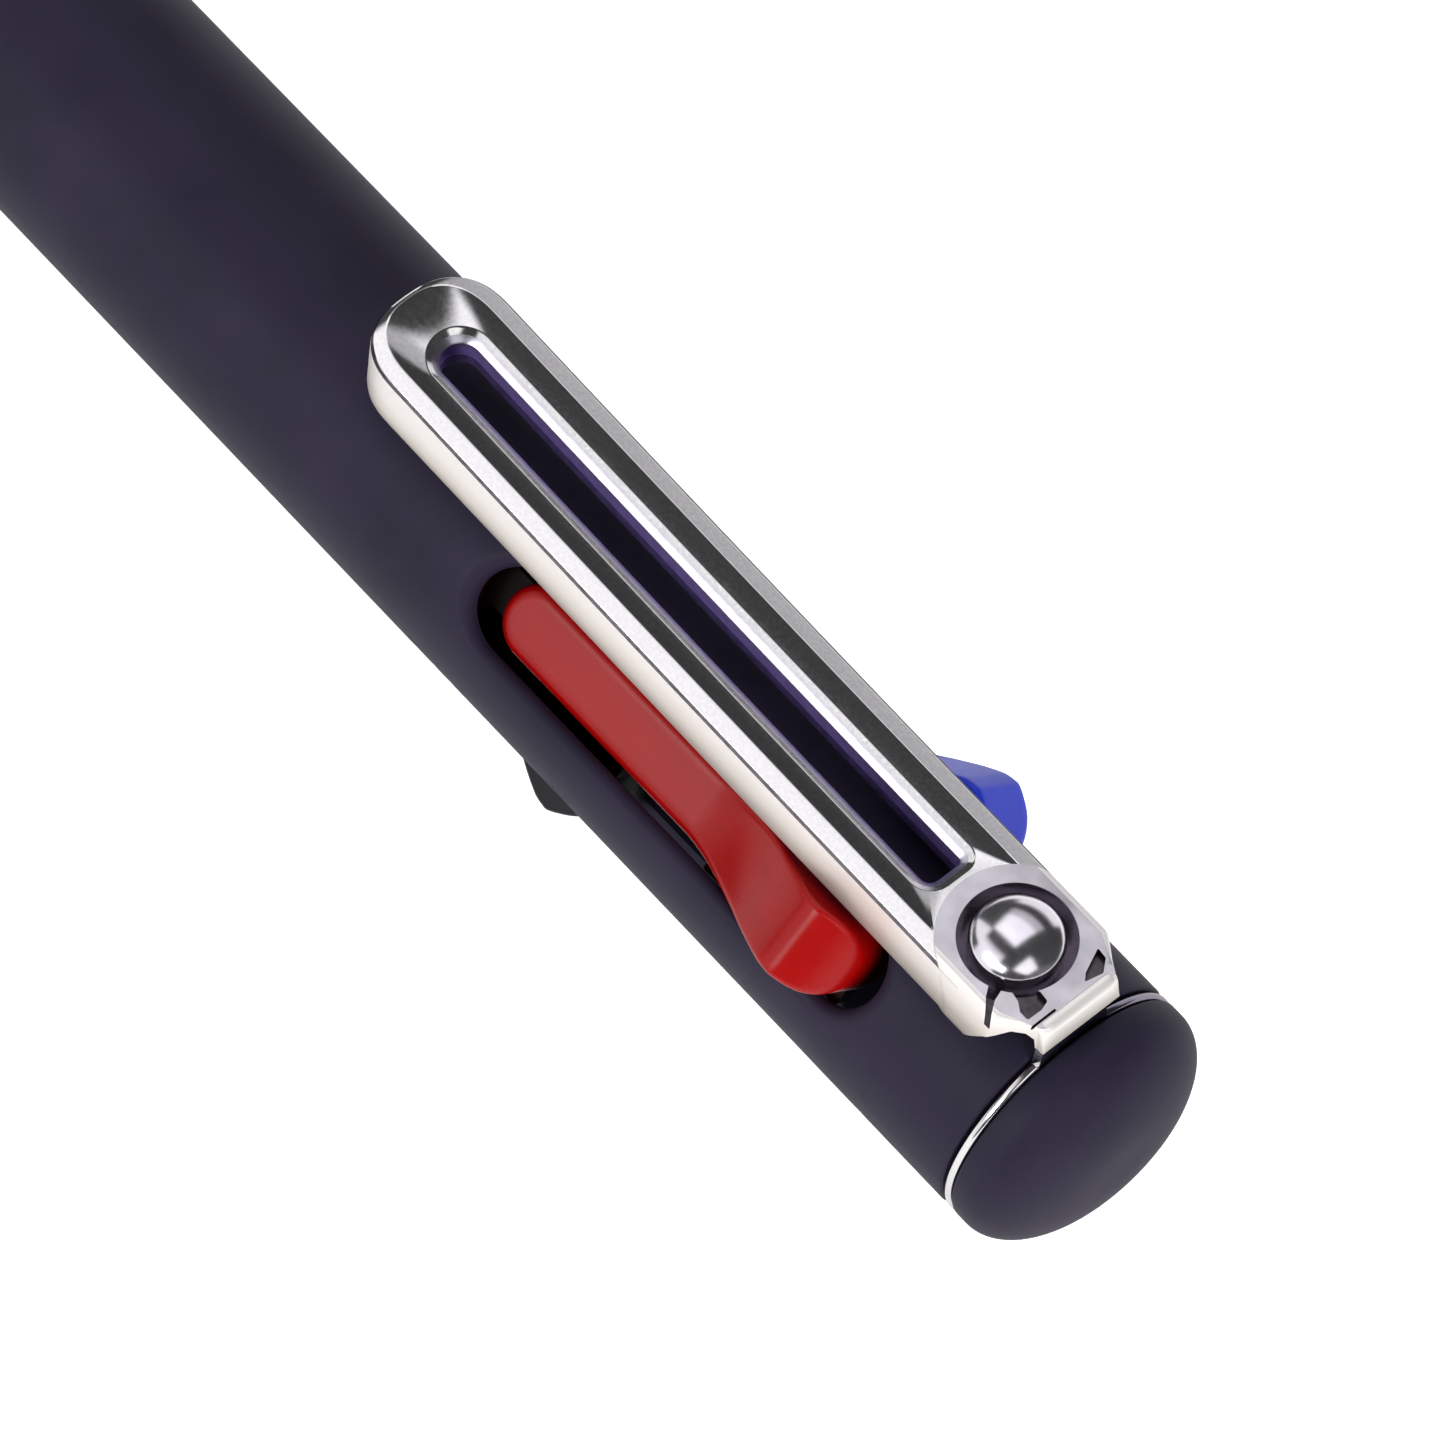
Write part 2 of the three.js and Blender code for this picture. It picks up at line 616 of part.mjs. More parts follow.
function sliderNose() {
  // Seen along the pen, the shoulder fills its quarter of the barrel and seats the spring
  const low = BODY_BOTTOM - SLIP;
  const shoulderRear = SHOULDER_FRONT + SHOULDER_THICKNESS;
  const wide = SPRING_RADIUS + SPRING_WIRE / 4;
  const top = SPRING_OFFSET + SPRING_RADIUS - SPRING_SLIP;
  const outline = [
    [-(low - DIP - SHOULDER_APART), low],
    [low - DIP - SHOULDER_APART, low],
    [wide, wide + DIP + SHOULDER_APART],
    [wide, SPRING_OFFSET + SHOULDER_SIDE_RISE],
    [wide - SHOULDER_CORNER, top],
    [-(wide - SHOULDER_CORNER), top],
    [-wide, SPRING_OFFSET + SHOULDER_SIDE_RISE],
    [-wide, wide + DIP + SHOULDER_APART],
  ];
  const shoulder = lengthways(outline, SHOULDER_FRONT, shoulderRear);
  const neckRear = STRIP_FRONT + STRIP_HALF;
  const neckTop = (STRIP_BOTTOM + STRIP_HEIGHT) / 2 - SLIP;
  const neck = block(shoulderRear - SHOULDER_THICKNESS / 2, neckRear, KEEL_HALF - SLIP, BODY_BOTTOM, neckTop);
  const pegRear = SHOULDER_FRONT + SHOULDER_THICKNESS / 2;
  const peg = turned([
    [pegRear, 0],
    [pegRear, PEG_RADIUS],
    [SHOULDER_FRONT - PEG_LENGTH, PEG_RADIUS],
    [SHOULDER_FRONT - PEG_LENGTH, 0],
  ], SMALL_SIDES);
  return shoulder.add(neck).add(moved(peg, 0, 0, REFILL_OFFSET));
}

// A round bar along a refill, either straight part or the sloping nose behind the tip
function straightBar(radius, from, to) {
  const bar = turned([[to, 0], [to, radius], [from, radius], [from, 0]], SMALL_SIDES);
  return moved(bar, 0, 0, REFILL_OFFSET);
}

function slopingBar(profile) {
  const bar = turned(profile, SMALL_SIDES);
  return moved(turnedAbout(bar, "y", -THREE.MathUtils.radToDeg(SLOPE_ANGLE)), TIP_END_IN, 0, TIP_OFFSET_IN);
}

function refillTube() {
  const noseLength = (BEND - TIP_END_IN) / Math.cos(SLOPE_ANGLE);
  const front = TIP_LENGTH + FACE_GAP;
  const lap = REFILL_RADIUS * Math.tan(SLOPE_ANGLE / 2);
  const sloped = (radius, from) => slopingBar([
    [noseLength + lap, 0],
    [noseLength + lap, radius],
    [from, radius],
    [from, 0],
  ]);
  const outside = straightBar(REFILL_RADIUS, BEND - lap, TUBE_REAR).add(sloped(REFILL_RADIUS, front));
  const inside = straightBar(REFILL_BORE, BEND - lap, TUBE_REAR + 1).add(sloped(REFILL_BORE, front - 1));
  return outside.subtract(inside);
}

function refillTip() {
  const plug = REFILL_BORE - PLUG_SLIP;
  const coneEnd = TIP_NOZZLE_LENGTH + TIP_CONE_LENGTH;
  return slopingBar([
    [TIP_LENGTH + TIP_PLUG_LENGTH, 0],
    [TIP_LENGTH + TIP_PLUG_LENGTH, plug],
    [TIP_LENGTH, plug],
    [TIP_LENGTH, REFILL_RADIUS - PLUG_SLIP],
    [coneEnd + TIP_BODY_SHARE * (TIP_LENGTH - coneEnd), REFILL_RADIUS - 3 * PLUG_SLIP],
    [coneEnd, TIP_NOZZLE_RADIUS + TIP_CONE_STEP],
    [TIP_NOZZLE_LENGTH, TIP_NOZZLE_RADIUS],
    [TIP_BALL_RADIUS, 1.2 * TIP_BALL_RADIUS],
    [0.3 * TIP_BALL_RADIUS, 0.7 * TIP_BALL_RADIUS],
    [0, 0],
  ]);
}

// A coil whose centre line runs from one point to another
class Coil extends THREE.Curve {
  constructor(from, to) {
    super();
    this.from = from;
    this.to = to;
    this.arcLengthDivisions = SPRING_TURNS * COIL_STEPS * 4;
  }

  getPoint(share, target = new THREE.Vector3()) {
    const angle = 2 * Math.PI * SPRING_TURNS * share;
    target.lerpVectors(this.from, this.to, share);
    target.y += SPRING_RADIUS * Math.cos(angle);
    target.z += SPRING_RADIUS * Math.sin(angle);
    return target;
  }
}

function returnSpring(slidOut) {
  const reach = slidOut ? TRAVEL : 0;
  const seatDrop = slidOut ? DIP - 2 * SPRING_SLIP : 0;
  const gap = FACE_GAP + SPRING_WIRE / 2;
  const from = new THREE.Vector3(SHOULDER_FRONT - reach - gap, 0, SPRING_OFFSET - seatDrop);
  const to = new THREE.Vector3(GUIDE_PLATE_REAR + gap, 0, SPRING_OFFSET);
  const coil = new Coil(from, to);
  const wire = new THREE.Shape(circle(SPRING_WIRE / 2, WIRE_SIDES));
  const steps = SPRING_TURNS * COIL_STEPS;
  const least = leastCoilGap(coil);
  console.log(`least gap between a spring's coils: ${least.toFixed(2)} mm`);
  if (least < SPRING_COIL_GAP_LEAST) console.log("the coils lie closer than they should");
  return solid(new THREE.ExtrudeGeometry(wire, { steps, extrudePath: coil, bevelEnabled: false }));
}

function circle(radius, sides) {
  const points = [];
  for (let i = 0; i < sides; i += 1) {
    const angle = (2 * Math.PI * i) / sides;
    points.push(new THREE.Vector2(radius * Math.cos(angle), radius * Math.sin(angle)));
  }
  return points;
}

function leastCoilGap(coil) {
  const points = coil.getPoints(SPRING_TURNS * COIL_STEPS);
  let least = Infinity;
  for (let i = 0; i < points.length; i += 1) {
    for (let j = i + COIL_STEPS / 2; j < points.length; j += 1) {
      least = Math.min(least, points[i].distanceTo(points[j]));
    }
  }
  return least - SPRING_WIRE;
}

// Clip

function clipHeight(along) {
  return CLIP_ROOT_HEIGHT + CLIP_LEAN * (Math.max(-along, 0) / CLIP_LEAN_AT) ** CLIP_LEAN_POWER;
}

function clipWallBottom(along) {
  return CLIP_WALL_BOTTOM + CLIP_WALL_LIFT * (Math.max(-along, 0) / CLIP_LEAN_AT) ** CLIP_WALL_LIFT_POWER;
}

// A loop round the channel or its window, with a rounded end at the tip and a straight rear
function clipLoop({ half, tip, round, squareness, rear, height }) {
  const sideSteps = 10;
  const tipSteps = 12;
  const rearSteps = 3;
  const plan = [];
  const shoulder = tip + round;
  for (let i = 0; i < sideSteps; i += 1) plan.push([rear + ((shoulder - rear) * i) / sideSteps, half]);
  for (let i = 0; i < tipSteps; i += 1) {
    const angle = (Math.PI * i) / tipSteps;
    const reach = Math.sin(angle) ** (2 / squareness);
    const width = Math.abs(Math.cos(angle)) ** (2 / squareness) * Math.sign(Math.cos(angle));
    plan.push([shoulder - round * reach, half * width]);
  }
  for (let i = 0; i < sideSteps; i += 1) plan.push([shoulder + ((rear - shoulder) * i) / sideSteps, -half]);
  for (let i = 0; i < rearSteps; i += 1) plan.push([rear, half * (-1 + (2 * i) / rearSteps)]);
  return plan.map(([along, across]) => [along, across, height(along)]);
}

function clipChannel() {
  const rear = BOSS_CENTRE - BOSS_RADIUS / 6;
  const hollowRear = WINDOW_REAR + CLIP_WALL;
  const top = clipHeight;
  const outer = {
    half: CLIP_HALF,
    tip: CLIP_TIP,
    round: CLIP_TIP_ROUND,
    squareness: CLIP_TIP_SQUARENESS,
    rear,
  };
  const ridge = {
    half: CLIP_HALF - RIDGE_INSET,
    tip: CLIP_TIP + RIDGE_TIP_INSET,
    round: CLIP_TIP_ROUND - RIDGE_TIP_INSET,
    squareness: CLIP_TIP_SQUARENESS,
    rear,
  };
  const window = { half: WINDOW_HALF, tip: WINDOW_TIP, round: WINDOW_HALF, squareness: 2, rear: WINDOW_REAR };
  const rim = {
    half: WINDOW_HALF + WINDOW_CHAMFER,
    tip: WINDOW_TIP - WINDOW_CHAMFER,
    round: WINDOW_HALF + WINDOW_CHAMFER,
    squareness: 2,
    rear: WINDOW_REAR + WINDOW_CHAMFER,
  };
  const hollow = {
    half: CLIP_HALF - CLIP_WALL,
    tip: CLIP_TIP + CLIP_WALL,
    round: CLIP_TIP_ROUND - CLIP_WALL,
    squareness: CLIP_TIP_SQUARENESS,
    rear: hollowRear,
  };
  return joinedLoops([
    clipLoop({ ...outer, height: clipWallBottom }),
    clipLoop({ ...outer, height: top }),
    clipLoop({ ...ridge, height: (x) => top(x) + RIDGE_RISE }),
    clipLoop({ ...rim, height: (x) => top(x) - WINDOW_TOP_DROP }),
    clipLoop({ ...window, height: (x) => top(x) - WINDOW_TOP_DROP - WINDOW_CHAMFER_DROP }),
    clipLoop({ ...window, height: (x) => top(x) - CLIP_PLATE_DEPTH }),
    clipLoop({ ...hollow, height: (x) => top(x) - CLIP_PLATE_DEPTH }),
    clipLoop({ ...hollow, height: clipWallBottom }),
  ]);
}

function clipBoss() {
  const floor = BOSS_HEIGHT - BOSS_RECESS_DEPTH;
  const hole = RIVET_SHANK_RADIUS + SLIP;
  return turnedUpright([
    [hole, CLIP_FOOT],
    [BOSS_RADIUS, CLIP_FOOT],
    [BOSS_RADIUS, BOSS_HEIGHT - EDGE_ROUND],
    [BOSS_RADIUS - EDGE_ROUND, BOSS_HEIGHT],
    [BOSS_RECESS_RADIUS, BOSS_HEIGHT],
    [BOSS_RECESS_RADIUS - EDGE_ROUND, floor],
    [hole, floor],
  ], BOSS_CENTRE);
}

function clipNeck() {
  const end = RING_HALF + NECK_REACH;
  const flank = BOSS_CENTRE + NECK_FLANK;
  const outline = [
    [BOSS_CENTRE, -CLIP_HALF],
    [flank, -CLIP_HALF],
    [end - NECK_CORNER, -NECK_HALF],
    [end, NECK_CORNER - NECK_HALF],
    [end, NECK_HALF - NECK_CORNER],
    [end - NECK_CORNER, NECK_HALF],
    [flank, CLIP_HALF],
    [BOSS_CENTRE, CLIP_HALF],
  ];
  const plate = raised(outline, CLIP_FOOT, NECK_TOP);
  const rollLength = 2 * (NECK_HALF - SLIP);
  const roll = new THREE.CylinderGeometry(ROLL_RADIUS, ROLL_RADIUS, rollLength, SMALL_SIDES);
  return plate.add(solid(roll.translate(end - ROLL_RADIUS, 0, ROLL_TOP - ROLL_RADIUS)));
}

function clip() {
  // The arch under the neck is open towards the boss and leaves a wall that comes down over the ear
  const past = RING_HALF + NECK_REACH + 1;
  const arch = sideways([
    [past, BARREL_BORE],
    [past, NECK_BOTTOM],
    [ARCH_REAR, NECK_BOTTOM],
    [ARCH_REAR, ARCH_TOP - ARCH_CORNER],
    [ARCH_REAR - ARCH_CORNER, ARCH_TOP],
    [ARCH_REAR - ARCH_CROWN, ARCH_TOP],
    [ARCH_FRONT, CLIP_FOOT],
    [ARCH_FRONT, BARREL_BORE],
  ], BOSS_RADIUS + 1);
  // The boss is no wider than the channel
  const bossRoom = block(BOSS_CENTRE - BOSS_RADIUS, BOSS_CENTRE + BOSS_RADIUS, CLIP_HALF, CLIP_FOOT, BOSS_HEIGHT);
  const boss = clipBoss().intersect(bossRoom);
  const recess = turnedUpright([
    [0, BOSS_HEIGHT - BOSS_RECESS_DEPTH],
    [BOSS_RECESS_RADIUS - EDGE_ROUND, BOSS_HEIGHT - BOSS_RECESS_DEPTH],
    [BOSS_RECESS_RADIUS, BOSS_HEIGHT + 1],
    [0, BOSS_HEIGHT + 1],
  ], BOSS_CENTRE);
  const hole = turnedUpright([
    [0, BARREL_BORE],
    [RIVET_SHANK_RADIUS + SLIP, BARREL_BORE],
    [RIVET_SHANK_RADIUS + SLIP, BOSS_HEIGHT],
    [0, BOSS_HEIGHT],
  ], BOSS_CENTRE);
  const tipPad = clipTipPad();
  return clipChannel().add(clipNeck()).subtract(recess).subtract(hole).add(boss).subtract(arch).add(tipPad);
}

// The pad under the tip that holds a pocket's cloth against the barrel
function clipTipPad() {
  const along = (CLIP_TIP + WINDOW_TIP) / 2 + 0.2;
  const foot = CLIP_FOOT;
  const seat = clipHeight(along) - CLIP_PLATE_DEPTH / 2;
  return turnedUpright([
    [0, foot],
    [0.7 * PAD_RADIUS, foot + 0.3 * PAD_RADIUS],
    [PAD_RADIUS, foot + PAD_RADIUS],
    [PAD_RADIUS, seat],
    [0, seat],
  ], along, SMALL_SIDES);
}

function clipRivet() {
  const seat = BOSS_HEIGHT - BOSS_RECESS_DEPTH + PLUG_SLIP;
  // The head is a short drum that fills the recess up to its rim, with the dome standing on it
  const drumTop = BOSS_HEIGHT + RIVET_DOME_RISE;
  const profile = [[0, CLIP_FOOT], [RIVET_SHANK_RADIUS, CLIP_FOOT], [RIVET_SHANK_RADIUS, seat]];
  profile.push([RIVET_DOME_RADIUS, seat]);
  const steps = ARC_STEPS / 2;
  for (let i = 0; i < steps; i += 1) {
    const angle = (Math.PI / 2) * (i / steps);
    profile.push([RIVET_DOME_RADIUS * Math.cos(angle), drumTop + RIVET_DOME_HEIGHT * Math.sin(angle)]);
  }
  profile.push([0, drumTop + RIVET_DOME_HEIGHT]);
  return turnedUpright(profile, BOSS_CENTRE);
}

// The pen

const pen = new THREE.Group();
piece(pen, "upper_barrel", upperBarrel(), "casing");
piece(pen, "trim_ring", trimRing(), "chrome");
piece(pen, "joint_sleeve", jointSleeve(), "brass");
piece(pen, "lower_barrel", lowerBarrel(), "casing");
piece(pen, "nose_cone", noseCone(), "chrome");
piece(pen, "end_cap", endCap(), "casing");
piece(pen, "clip_ring", clipRing(), "chrome");
piece(pen, "cap_insert", capInsert(), "brass");
piece(pen, "inner_frame", innerFrame(), "frame");
piece(pen, "guide_plate", guidePlate(), "frame");
piece(pen, "clip", clip(), "chrome");
piece(pen, "clip_rivet", clipRivet(), "chrome");

const slider = sliderBody().add(sliderNose());
const tube = refillTube();
const tip = refillTip();
for (const [colour, angle] of Object.entries(SLIDER_ANGLES)) {
  const slidOut = colour === "black";
  const quarter = new THREE.Group();
  quarter.rotation.x = THREE.MathUtils.degToRad(angle);
  const unit = new THREE.Group();
  if (slidOut) unit.position.set(-TRAVEL, 0, -DIP);
  piece(unit, `slider_${colour}`, slider, colour);
  piece(unit, `refill_tube_${colour}`, tube, colour);
  piece(unit, `refill_tip_${colour}`, tip, "brass");
  quarter.add(unit);
  piece(quarter, `return_spring_${colour}`, returnSpring(slidOut), "steel");
  pen.add(quarter);
}

// The origin is the middle of the pen's length, on its axis, at the height of its lowest point
pen.updateMatrixWorld(true);
const box = new THREE.Box3().setFromObject(pen, true);
pen.position.set(-(box.min.x + box.max.x) / 2, 0, -box.min.z);
const part = new THREE.Group();
part.add(pen);

export default part;
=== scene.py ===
# %% [markdown]
# A four-colour slider pen, dressed for a picture.
# The solids of the pen come in first as a frame. They already have the right places and sizes, so
# everything that follows is measured from them and only makes the surfaces finer.

# %% Load the frame
import math

import bmesh
import bpy
from mathutils import Matrix, Vector


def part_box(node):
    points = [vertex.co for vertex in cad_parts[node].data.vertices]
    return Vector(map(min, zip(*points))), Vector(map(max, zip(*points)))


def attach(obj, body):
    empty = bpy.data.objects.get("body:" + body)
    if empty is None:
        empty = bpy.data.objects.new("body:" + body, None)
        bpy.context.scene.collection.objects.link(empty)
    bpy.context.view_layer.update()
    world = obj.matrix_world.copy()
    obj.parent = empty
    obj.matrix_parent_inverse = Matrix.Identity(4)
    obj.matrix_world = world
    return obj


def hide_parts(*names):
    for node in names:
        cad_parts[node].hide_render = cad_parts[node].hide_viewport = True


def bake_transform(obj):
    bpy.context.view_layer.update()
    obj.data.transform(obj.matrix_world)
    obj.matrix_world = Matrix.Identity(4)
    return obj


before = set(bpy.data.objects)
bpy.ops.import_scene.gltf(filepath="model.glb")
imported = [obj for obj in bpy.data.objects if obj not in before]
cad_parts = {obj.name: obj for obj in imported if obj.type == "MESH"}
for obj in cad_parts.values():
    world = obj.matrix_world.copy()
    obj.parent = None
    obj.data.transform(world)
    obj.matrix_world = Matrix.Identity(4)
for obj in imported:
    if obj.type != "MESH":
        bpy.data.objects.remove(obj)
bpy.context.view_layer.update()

# %% [markdown]
# The pen lies along X. Sizes along it are easiest to think of from the seam between barrel and end
# cap, and sizes across it from its axis, so two small functions turn millimetres in that sense into
# places in the scene. The seam and the axis are read from the ring and the trim ring.

# %% Places on the pen
MM = 0.001
ring_low, ring_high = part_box("clip_ring")
trim_low, trim_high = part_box("trim_ring")
SEAM = (ring_low.x + ring_high.x) / 2
AXIS = (trim_low.z + trim_high.z) / 2


def at(along, across, height):
    return Vector((SEAM + along * MM, across * MM, AXIS + height * MM))


def around(along, radius, angle):
    return at(along, -radius * math.sin(angle), radius * math.cos(angle))


print(f"seam at {SEAM / MM:.2f} mm, axis {AXIS / MM:.2f} mm above the floor")

# %% [markdown]
# The camera stands where the photographer stood: above the clip, on the side of the red slider, with
# a long lens. Its place was worked out from the barrel's edges and the seam ring.

# %% Camera


def show(name, data):
    data.name = name
    thing = bpy.data.objects.new(name, data)
    bpy.context.scene.collection.objects.link(thing)
    return thing


CAMERA_PLACE = at(107.73, -130.21, 335.67)
CAMERA_FORWARD = Vector((-0.33839, 0.34253, -0.87643))
CAMERA_RIGHT = Vector((0.65374, 0.75549, 0.04285))
camera_data = bpy.data.cameras.new("photo_camera")
camera_data.lens = 234.16
camera_data.sensor_width = 36
camera_data.clip_start = 0.01
camera_data.clip_end = 20
camera = show("photo_camera", camera_data)
right = CAMERA_RIGHT.normalized()
backward = -CAMERA_FORWARD.normalized()
upward = backward.cross(right).normalized()
turn = Matrix((right, upward, backward)).transposed().to_4x4()
camera.matrix_world = Matrix.Translation(CAMERA_PLACE) @ turn
bpy.context.scene.camera = camera
print(f"camera: {camera_data.lens:.0f} mm lens, {(CAMERA_PLACE - at(0, 0, 0)).length:.2f} m from the seam")

# %% [markdown]
# Shader and geometry trees are written as Python expressions. Field wraps one output socket, and a
# sum or a product of fields adds the Math node for it. NodeSheet.add makes any other node from its
# type, what its sockets hold, and its settings, which are set first.

# %% Writing node trees as expressions


class Field:
    def __init__(self, sheet, socket):
        self.sheet = sheet
        self.socket = socket

    def maths(self, operation, *values):
        return self.sheet.add("ShaderNodeMath", dict(enumerate(values)), operation=operation)

    def __add__(self, other):
        return self.maths("ADD", self, other)

    def __sub__(self, other):
        return self.maths("SUBTRACT", self, other)

    def __rsub__(self, other):
        return self.maths("SUBTRACT", other, self)

    def __mul__(self, other):
        return self.maths("MULTIPLY", self, other)

    def __truediv__(self, other):
        return self.maths("DIVIDE", self, other)

    __radd__ = __add__
    __rmul__ = __mul__

    def out(self, name):
        return Field(self.sheet, self.socket.node.outputs[name])


class NodeSheet:
    def __init__(self, tree):
        self.tree = tree
        self.surface = None

    def add(self, kind, inputs=None, **settings):
        node = self.tree.nodes.new(kind)
        for name, value in settings.items():
            setattr(node, name, value)
        for name, value in (inputs or {}).items():
            if isinstance(value, Field):
                self.tree.links.new(value.socket, node.inputs[name])
            else:
                node.inputs[name].default_value = value
        return Field(self, node.outputs[0]) if node.outputs else node

    def along(self, axis):
        """One coordinate of the point that is shaded, in metres."""
        place = self.add("ShaderNodeTexCoord").out("Object")
        return self.add("ShaderNodeSeparateXYZ", {0: place}).out(axis)

    def step(self, value, low, high):
        """Rises from 0 to 1 while the value goes from low to high."""
        return self.add("ShaderNodeMapRange", {0: value, 1: low, 2: high, 3: 0.0, 4: 1.0})

    def ramp(self, value, stops):
        field = self.add("ShaderNodeValToRGB", {0: value})
        elements = field.socket.node.color_ramp.elements
        for index, (place, shown) in enumerate(stops):
            element = elements[index] if index < 2 else elements.new(place)
            element.position = place
            element.color = rgba(shown)
        return field

    def mix(self, factor, first, second):
        """Mixes two colours, which are the node's inputs 6 and 7 and its output 2."""
        inputs = {0: factor, 6: rgba(first), 7: rgba(second)}
        return self.add("ShaderNodeMix", inputs, data_type="RGBA").out(2)


def sheet_of(owner):
    """An empty sheet for the nodes of a material or the world."""
    owner.use_nodes = True
    owner.node_tree.nodes.clear()
    return NodeSheet(owner.node_tree)


# %% [markdown]
# A colour is easiest to compare with a photograph as a screen shows it, from 0 to 255. Nodes want
# the light that it stands for, so one function turns the one into the other.

# %% Colours


def colour(red, green, blue):
    """A colour as a screen shows it, 0 to 255, as the light values that nodes use."""

    def linear(value):
        value /= 255
        return value / 12.92 if value <= 0.04045 else ((value + 0.055) / 1.055) ** 2.4

    return (linear(red), linear(green), linear(blue))


def rgba(shown):
    """A level of grey or a colour as a socket takes it. A field stays as it is."""
    if isinstance(shown, Field):
        return shown
    return (shown, shown, shown, 1.0) if isinstance(shown, float) else (*shown, 1.0)


# %% [markdown]
# Polished metal shows its surroundings, so the room matters as much as the metal. The photographer's
# lights ran along the pen as long strips: seen round the pen's axis there is a bright strip straight
# above, a dark gap on either side of it and bright card beyond. The world repeats that by the angle
# round X, and along X it changes over from one row of strips to the next, so that a dome shows
# patches and a ramp shows less light than a flat. The camera itself sees plain white.

# %% World
STRIPS = [
    (0.00, 0.80), (0.14, 0.80), (0.30, 0.88), (0.385, 0.95), (0.408, 0.60), (0.425, 0.05), (0.472, 0.05),
    (0.488, 1.20), (0.520, 1.15), (0.545, 1.05), (0.590, 1.00), (0.604, 0.56), (0.640, 0.45),
    (0.648, 0.045), (0.690, 0.045), (0.715, 0.90), (0.86, 0.85), (1.00, 0.80),
]
FRONT_STRIPS = [
    (0.17, 0.9), (0.19, 0.06), (0.33, 0.06), (0.35, 0.9), (0.46, 0.9), (0.48, 0.06), (0.80, 0.06),
    (0.82, 0.85),
]
REAR_STRIPS = [(0.37, 0.06), (0.39, 1.15), (0.50, 1.1), (0.52, 0.06), (0.80, 0.06), (0.82, 0.85)]
world = bpy.data.worlds.new("strip_lights")
bpy.context.scene.world = world
sky = sheet_of(world)
direction = sky.add("ShaderNodeTexCoord").out("Generated")
split = sky.add("ShaderNodeSeparateXYZ", {0: direction})
turn_share = split.maths("ARCTAN2", split.out("Y"), split.out("Z")) / (2 * math.pi) + 0.5
cool_strips = [(place, (level, 0.985 * level, 1.02 * level)) for place, level in STRIPS]


def beyond(place, width, before, after):
    """Changes from one look of the room to another where the direction's X passes a place."""
    return sky.mix(sky.step(split.out("X"), place - width / 2, place + width / 2), before, after)


room = beyond(-0.70, 0.1, sky.ramp(turn_share, FRONT_STRIPS), sky.ramp(turn_share, cool_strips))
room = beyond(0.07, 0.08, room, 0.05)
room = beyond(0.52, 0.08, room, sky.ramp(turn_share, REAR_STRIPS))
room = beyond(0.88, 0.08, room, 0.15)
path = sky.add("ShaderNodeLightPath")
seen = sky.mix(path.out("Is Camera Ray"), room, 1.0)
lit = sky.add("ShaderNodeBackground", {"Color": seen, "Strength": 1.0})
sky.add("ShaderNodeOutputWorld", {"Surface": lit})
print("world:", len(world.node_tree.nodes), "nodes")

# %% [markdown]
# The floor is white card. It takes the pen's soft shadow, and a little light that only the camera
# and polished metal see lifts it to the white of the photograph.

# %% Floor and lamps
FLOOR_HALF = 1.5
CAMERA_LIFT, METAL_LIFT = 0.85, 0.3
LAMP_AIM, LAMP_DISTANCE = at(-3.45, 0, 9), 0.65
floor_mesh = bpy.data.meshes.new("floor")
corners = [(x * FLOOR_HALF, y * FLOOR_HALF, 0) for x, y in ((-1, -1), (1, -1), (1, 1), (-1, 1))]
floor_mesh.from_pydata(corners, [], [(0, 1, 2, 3)])
floor = show("floor", floor_mesh)
card = bpy.data.materials.new("white_card")
sheet = sheet_of(card)
paper = sheet.add("ShaderNodeBsdfDiffuse", {"Color": rgba(0.82)})
path = sheet.add("ShaderNodeLightPath")
lift = path.out("Is Camera Ray") * CAMERA_LIFT + path.out("Is Glossy Ray") * METAL_LIFT
glow = sheet.add("ShaderNodeEmission", {"Color": (1.0, 0.97, 0.94, 1.0), "Strength": lift})
both = sheet.add("ShaderNodeAddShader", {0: paper, 1: glow})
sheet.add("ShaderNodeOutputMaterial", {"Surface": both})
floor_mesh.materials.append(card)


def lamp(name, direction, size, power, shows_in_metal=False):
    """An area lamp at some way from the clip's head, turned to it."""
    data = bpy.data.lights.new(name, "AREA")
    data.shape = "RECTANGLE"
    data.size, data.size_y = size
    data.energy = power
    thing = show(name, data)
    thing.location = LAMP_AIM + Vector(direction).normalized() * LAMP_DISTANCE
    thing.rotation_euler = (LAMP_AIM - thing.location).to_track_quat("-Z", "Y").to_euler()
    thing.visible_camera = False
    thing.visible_glossy = shows_in_metal


lamp("side_softbox", (-0.02, -0.855, 0.52), (0.5, 0.2), 1.6, True)
lamp("back_softbox", (-0.2, 0.7, 0.68), (0.6, 0.3), 0.65)
lamp("end_softbox", (0.92, -0.2, 0.34), (0.4, 0.4), 2.8)
print("lamps:", [light.name for light in bpy.data.lights])

# %% [markdown]
# Now the finishes. Each one starts from a Principled shader and a fine pattern on Object
# coordinates, which are the scene's metres, so a scale can be chosen for the real size of a grain.

# %% Shared finish helpers
ALONG_PEN = (0.12, 1, 1)


def finish(name, metallic=0.0, coat=0.0, specular=0.5):
    material = bpy.data.materials.new(name)
    sheet = sheet_of(material)
    settings = {"Metallic": metallic, "Coat Weight": coat, "Specular IOR Level": specular}
    surface = sheet.add("ShaderNodeBsdfPrincipled", settings)
    sheet.add("ShaderNodeOutputMaterial", {"Surface": surface})
    sheet.surface = surface.socket.node
    return material, sheet


